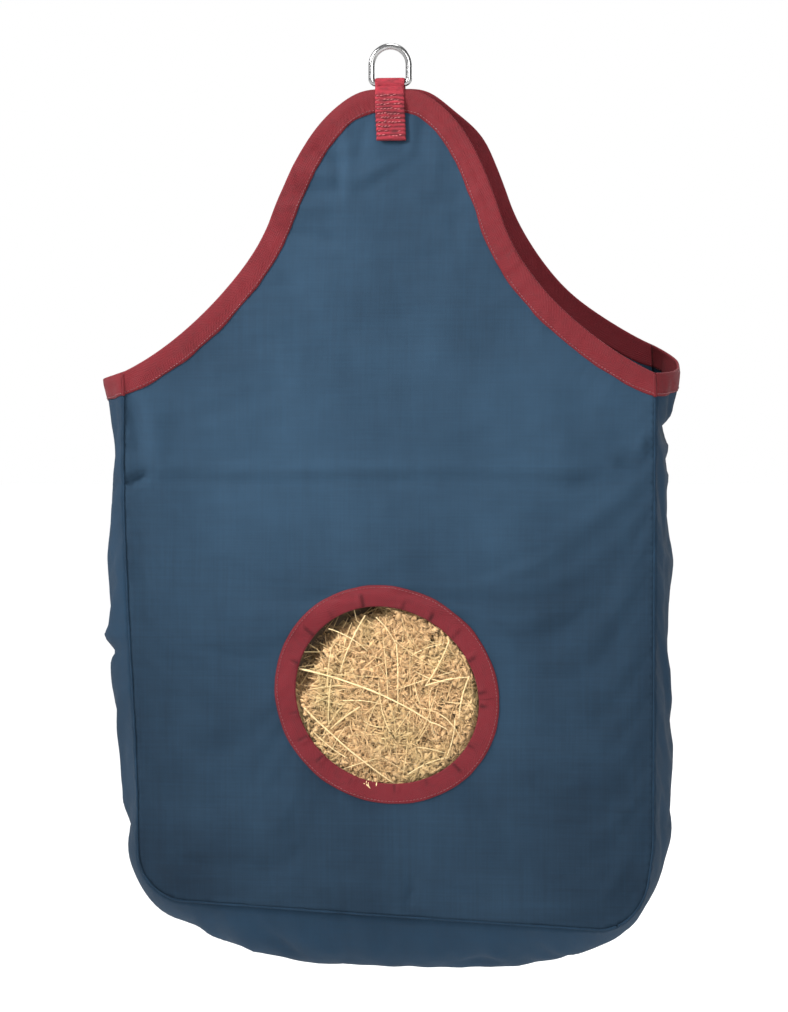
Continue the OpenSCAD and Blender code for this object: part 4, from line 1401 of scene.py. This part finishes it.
def make_world():
    """Soft light from all round, and plain white where the camera sees past the bag."""
    world = bpy.data.worlds.new("studio")
    world.use_nodes = True
    bpy.context.scene.world = world
    tree = world.node_tree
    soft = tree.nodes["Background"]
    soft.inputs["Color"].default_value = (0.97, 0.985, 1.0, 1)
    soft.inputs["Strength"].default_value = 0.26
    white = tree.nodes.new("ShaderNodeBackground")
    white.inputs["Color"].default_value = (1.0, 1.0, 1.0, 1)
    seen = tree.nodes.new("ShaderNodeLightPath")
    either = tree.nodes.new("ShaderNodeMixShader")
    tree.links.new(seen.outputs["Is Camera Ray"], either.inputs[0])
    tree.links.new(soft.outputs[0], either.inputs[1])
    tree.links.new(white.outputs[0], either.inputs[2])
    tree.links.new(either.outputs[0], tree.nodes["World Output"].inputs["Surface"])


def add_light(name, place, target, size, watts, spread=180):
    """A square soft light aimed at a point."""
    lamp = bpy.data.lights.new(name, "AREA")
    lamp.size = size
    lamp.spread = math.radians(spread)
    lamp.energy = watts
    made = bpy.data.objects.new(name, lamp)
    bpy.context.scene.collection.objects.link(made)
    made.location = place
    made.rotation_mode = "QUATERNION"
    made.rotation_quaternion = (Vector(target) - Vector(place)).to_track_quat("-Z", "Y")


def add_sun(name, strength, angle):
    """Even light from straight above, which keeps the floor pale."""
    lamp = bpy.data.lights.new(name, "SUN")
    lamp.energy = strength
    lamp.angle = math.radians(angle)
    bpy.context.scene.collection.objects.link(bpy.data.objects.new(name, lamp))


def make_camera(azimuth, elevation, distance, tall):
    """A long lens at the height of the bag, a little to its right."""
    lens = bpy.data.cameras.new("camera")
    lens.sensor_width = 36
    lens.lens = 36 * distance / tall
    made = bpy.data.objects.new("camera", lens)
    bpy.context.scene.collection.objects.link(made)
    target = Vector((12.5 * MM, -HALF_DEPTH, -0.460))
    a, e = math.radians(azimuth), math.radians(elevation)
    back = Vector((math.sin(a) * math.cos(e), -math.cos(a) * math.cos(e), math.sin(e)))
    made.location = target + back * distance
    made.rotation_mode = "QUATERNION"
    made.rotation_quaternion = (-back).to_track_quat("-Z", "Y")
    lens.clip_end = 60
    bpy.context.scene.camera = made


# ---- everything ----

make_camera(azimuth=7, elevation=3, distance=3.2, tall=1.012)
make_floor()
make_world()
add_light("key", (-1.25, -0.95, 0.62), (0, 0, -0.18), 0.6, 20, spread=110)
add_light("fill", (1.0, -3.2, 0.5), (0, 0, -0.3), 1.4, 62)
add_light("back", (1.1, 2.9, 0.7), (0, 0, -0.42), 1.4, 26)
add_sun("overhead", 2.6, 30)
bpy.context.scene.view_settings.view_transform = "Standard"

make_strap_stitches(*make_strap())
make_hay_clump()
hay_in_hole("hay_in_hole_chaff", 8500, 101, long_stems=False)
hay_in_hole("hay_in_hole_leaves", 8500, 105, long_stems=False)
hay_in_hole("hay_in_hole_stems", 200, 111, long_stems=True)
long_hay_random = np.random.default_rng(131)
hay_across_hole(long_hay_random)
hay_over_rim(long_hay_random, 10)
hay_on_top("hay_on_top", 2600, 121)

front_skin = make_panel("front_canvas", FRONT, "front_panel")
back_skin = make_panel("back_canvas", BACK, "back_panel")
gusset_skin = make_gusset()
make_seam("front_seam_ridge", FRONT, "front_seam")
make_seam("back_seam_ridge", BACK, "back_seam")
make_corner_folds()
mouth_tape("front", front_skin, FRONT)
mouth_tape("back", back_skin, BACK)
gusset_tape("left", gusset_skin, right=False)
gusset_tape("right", gusset_skin, right=True)
hole_tape(front_skin)

dress_ring(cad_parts["d_ring"])
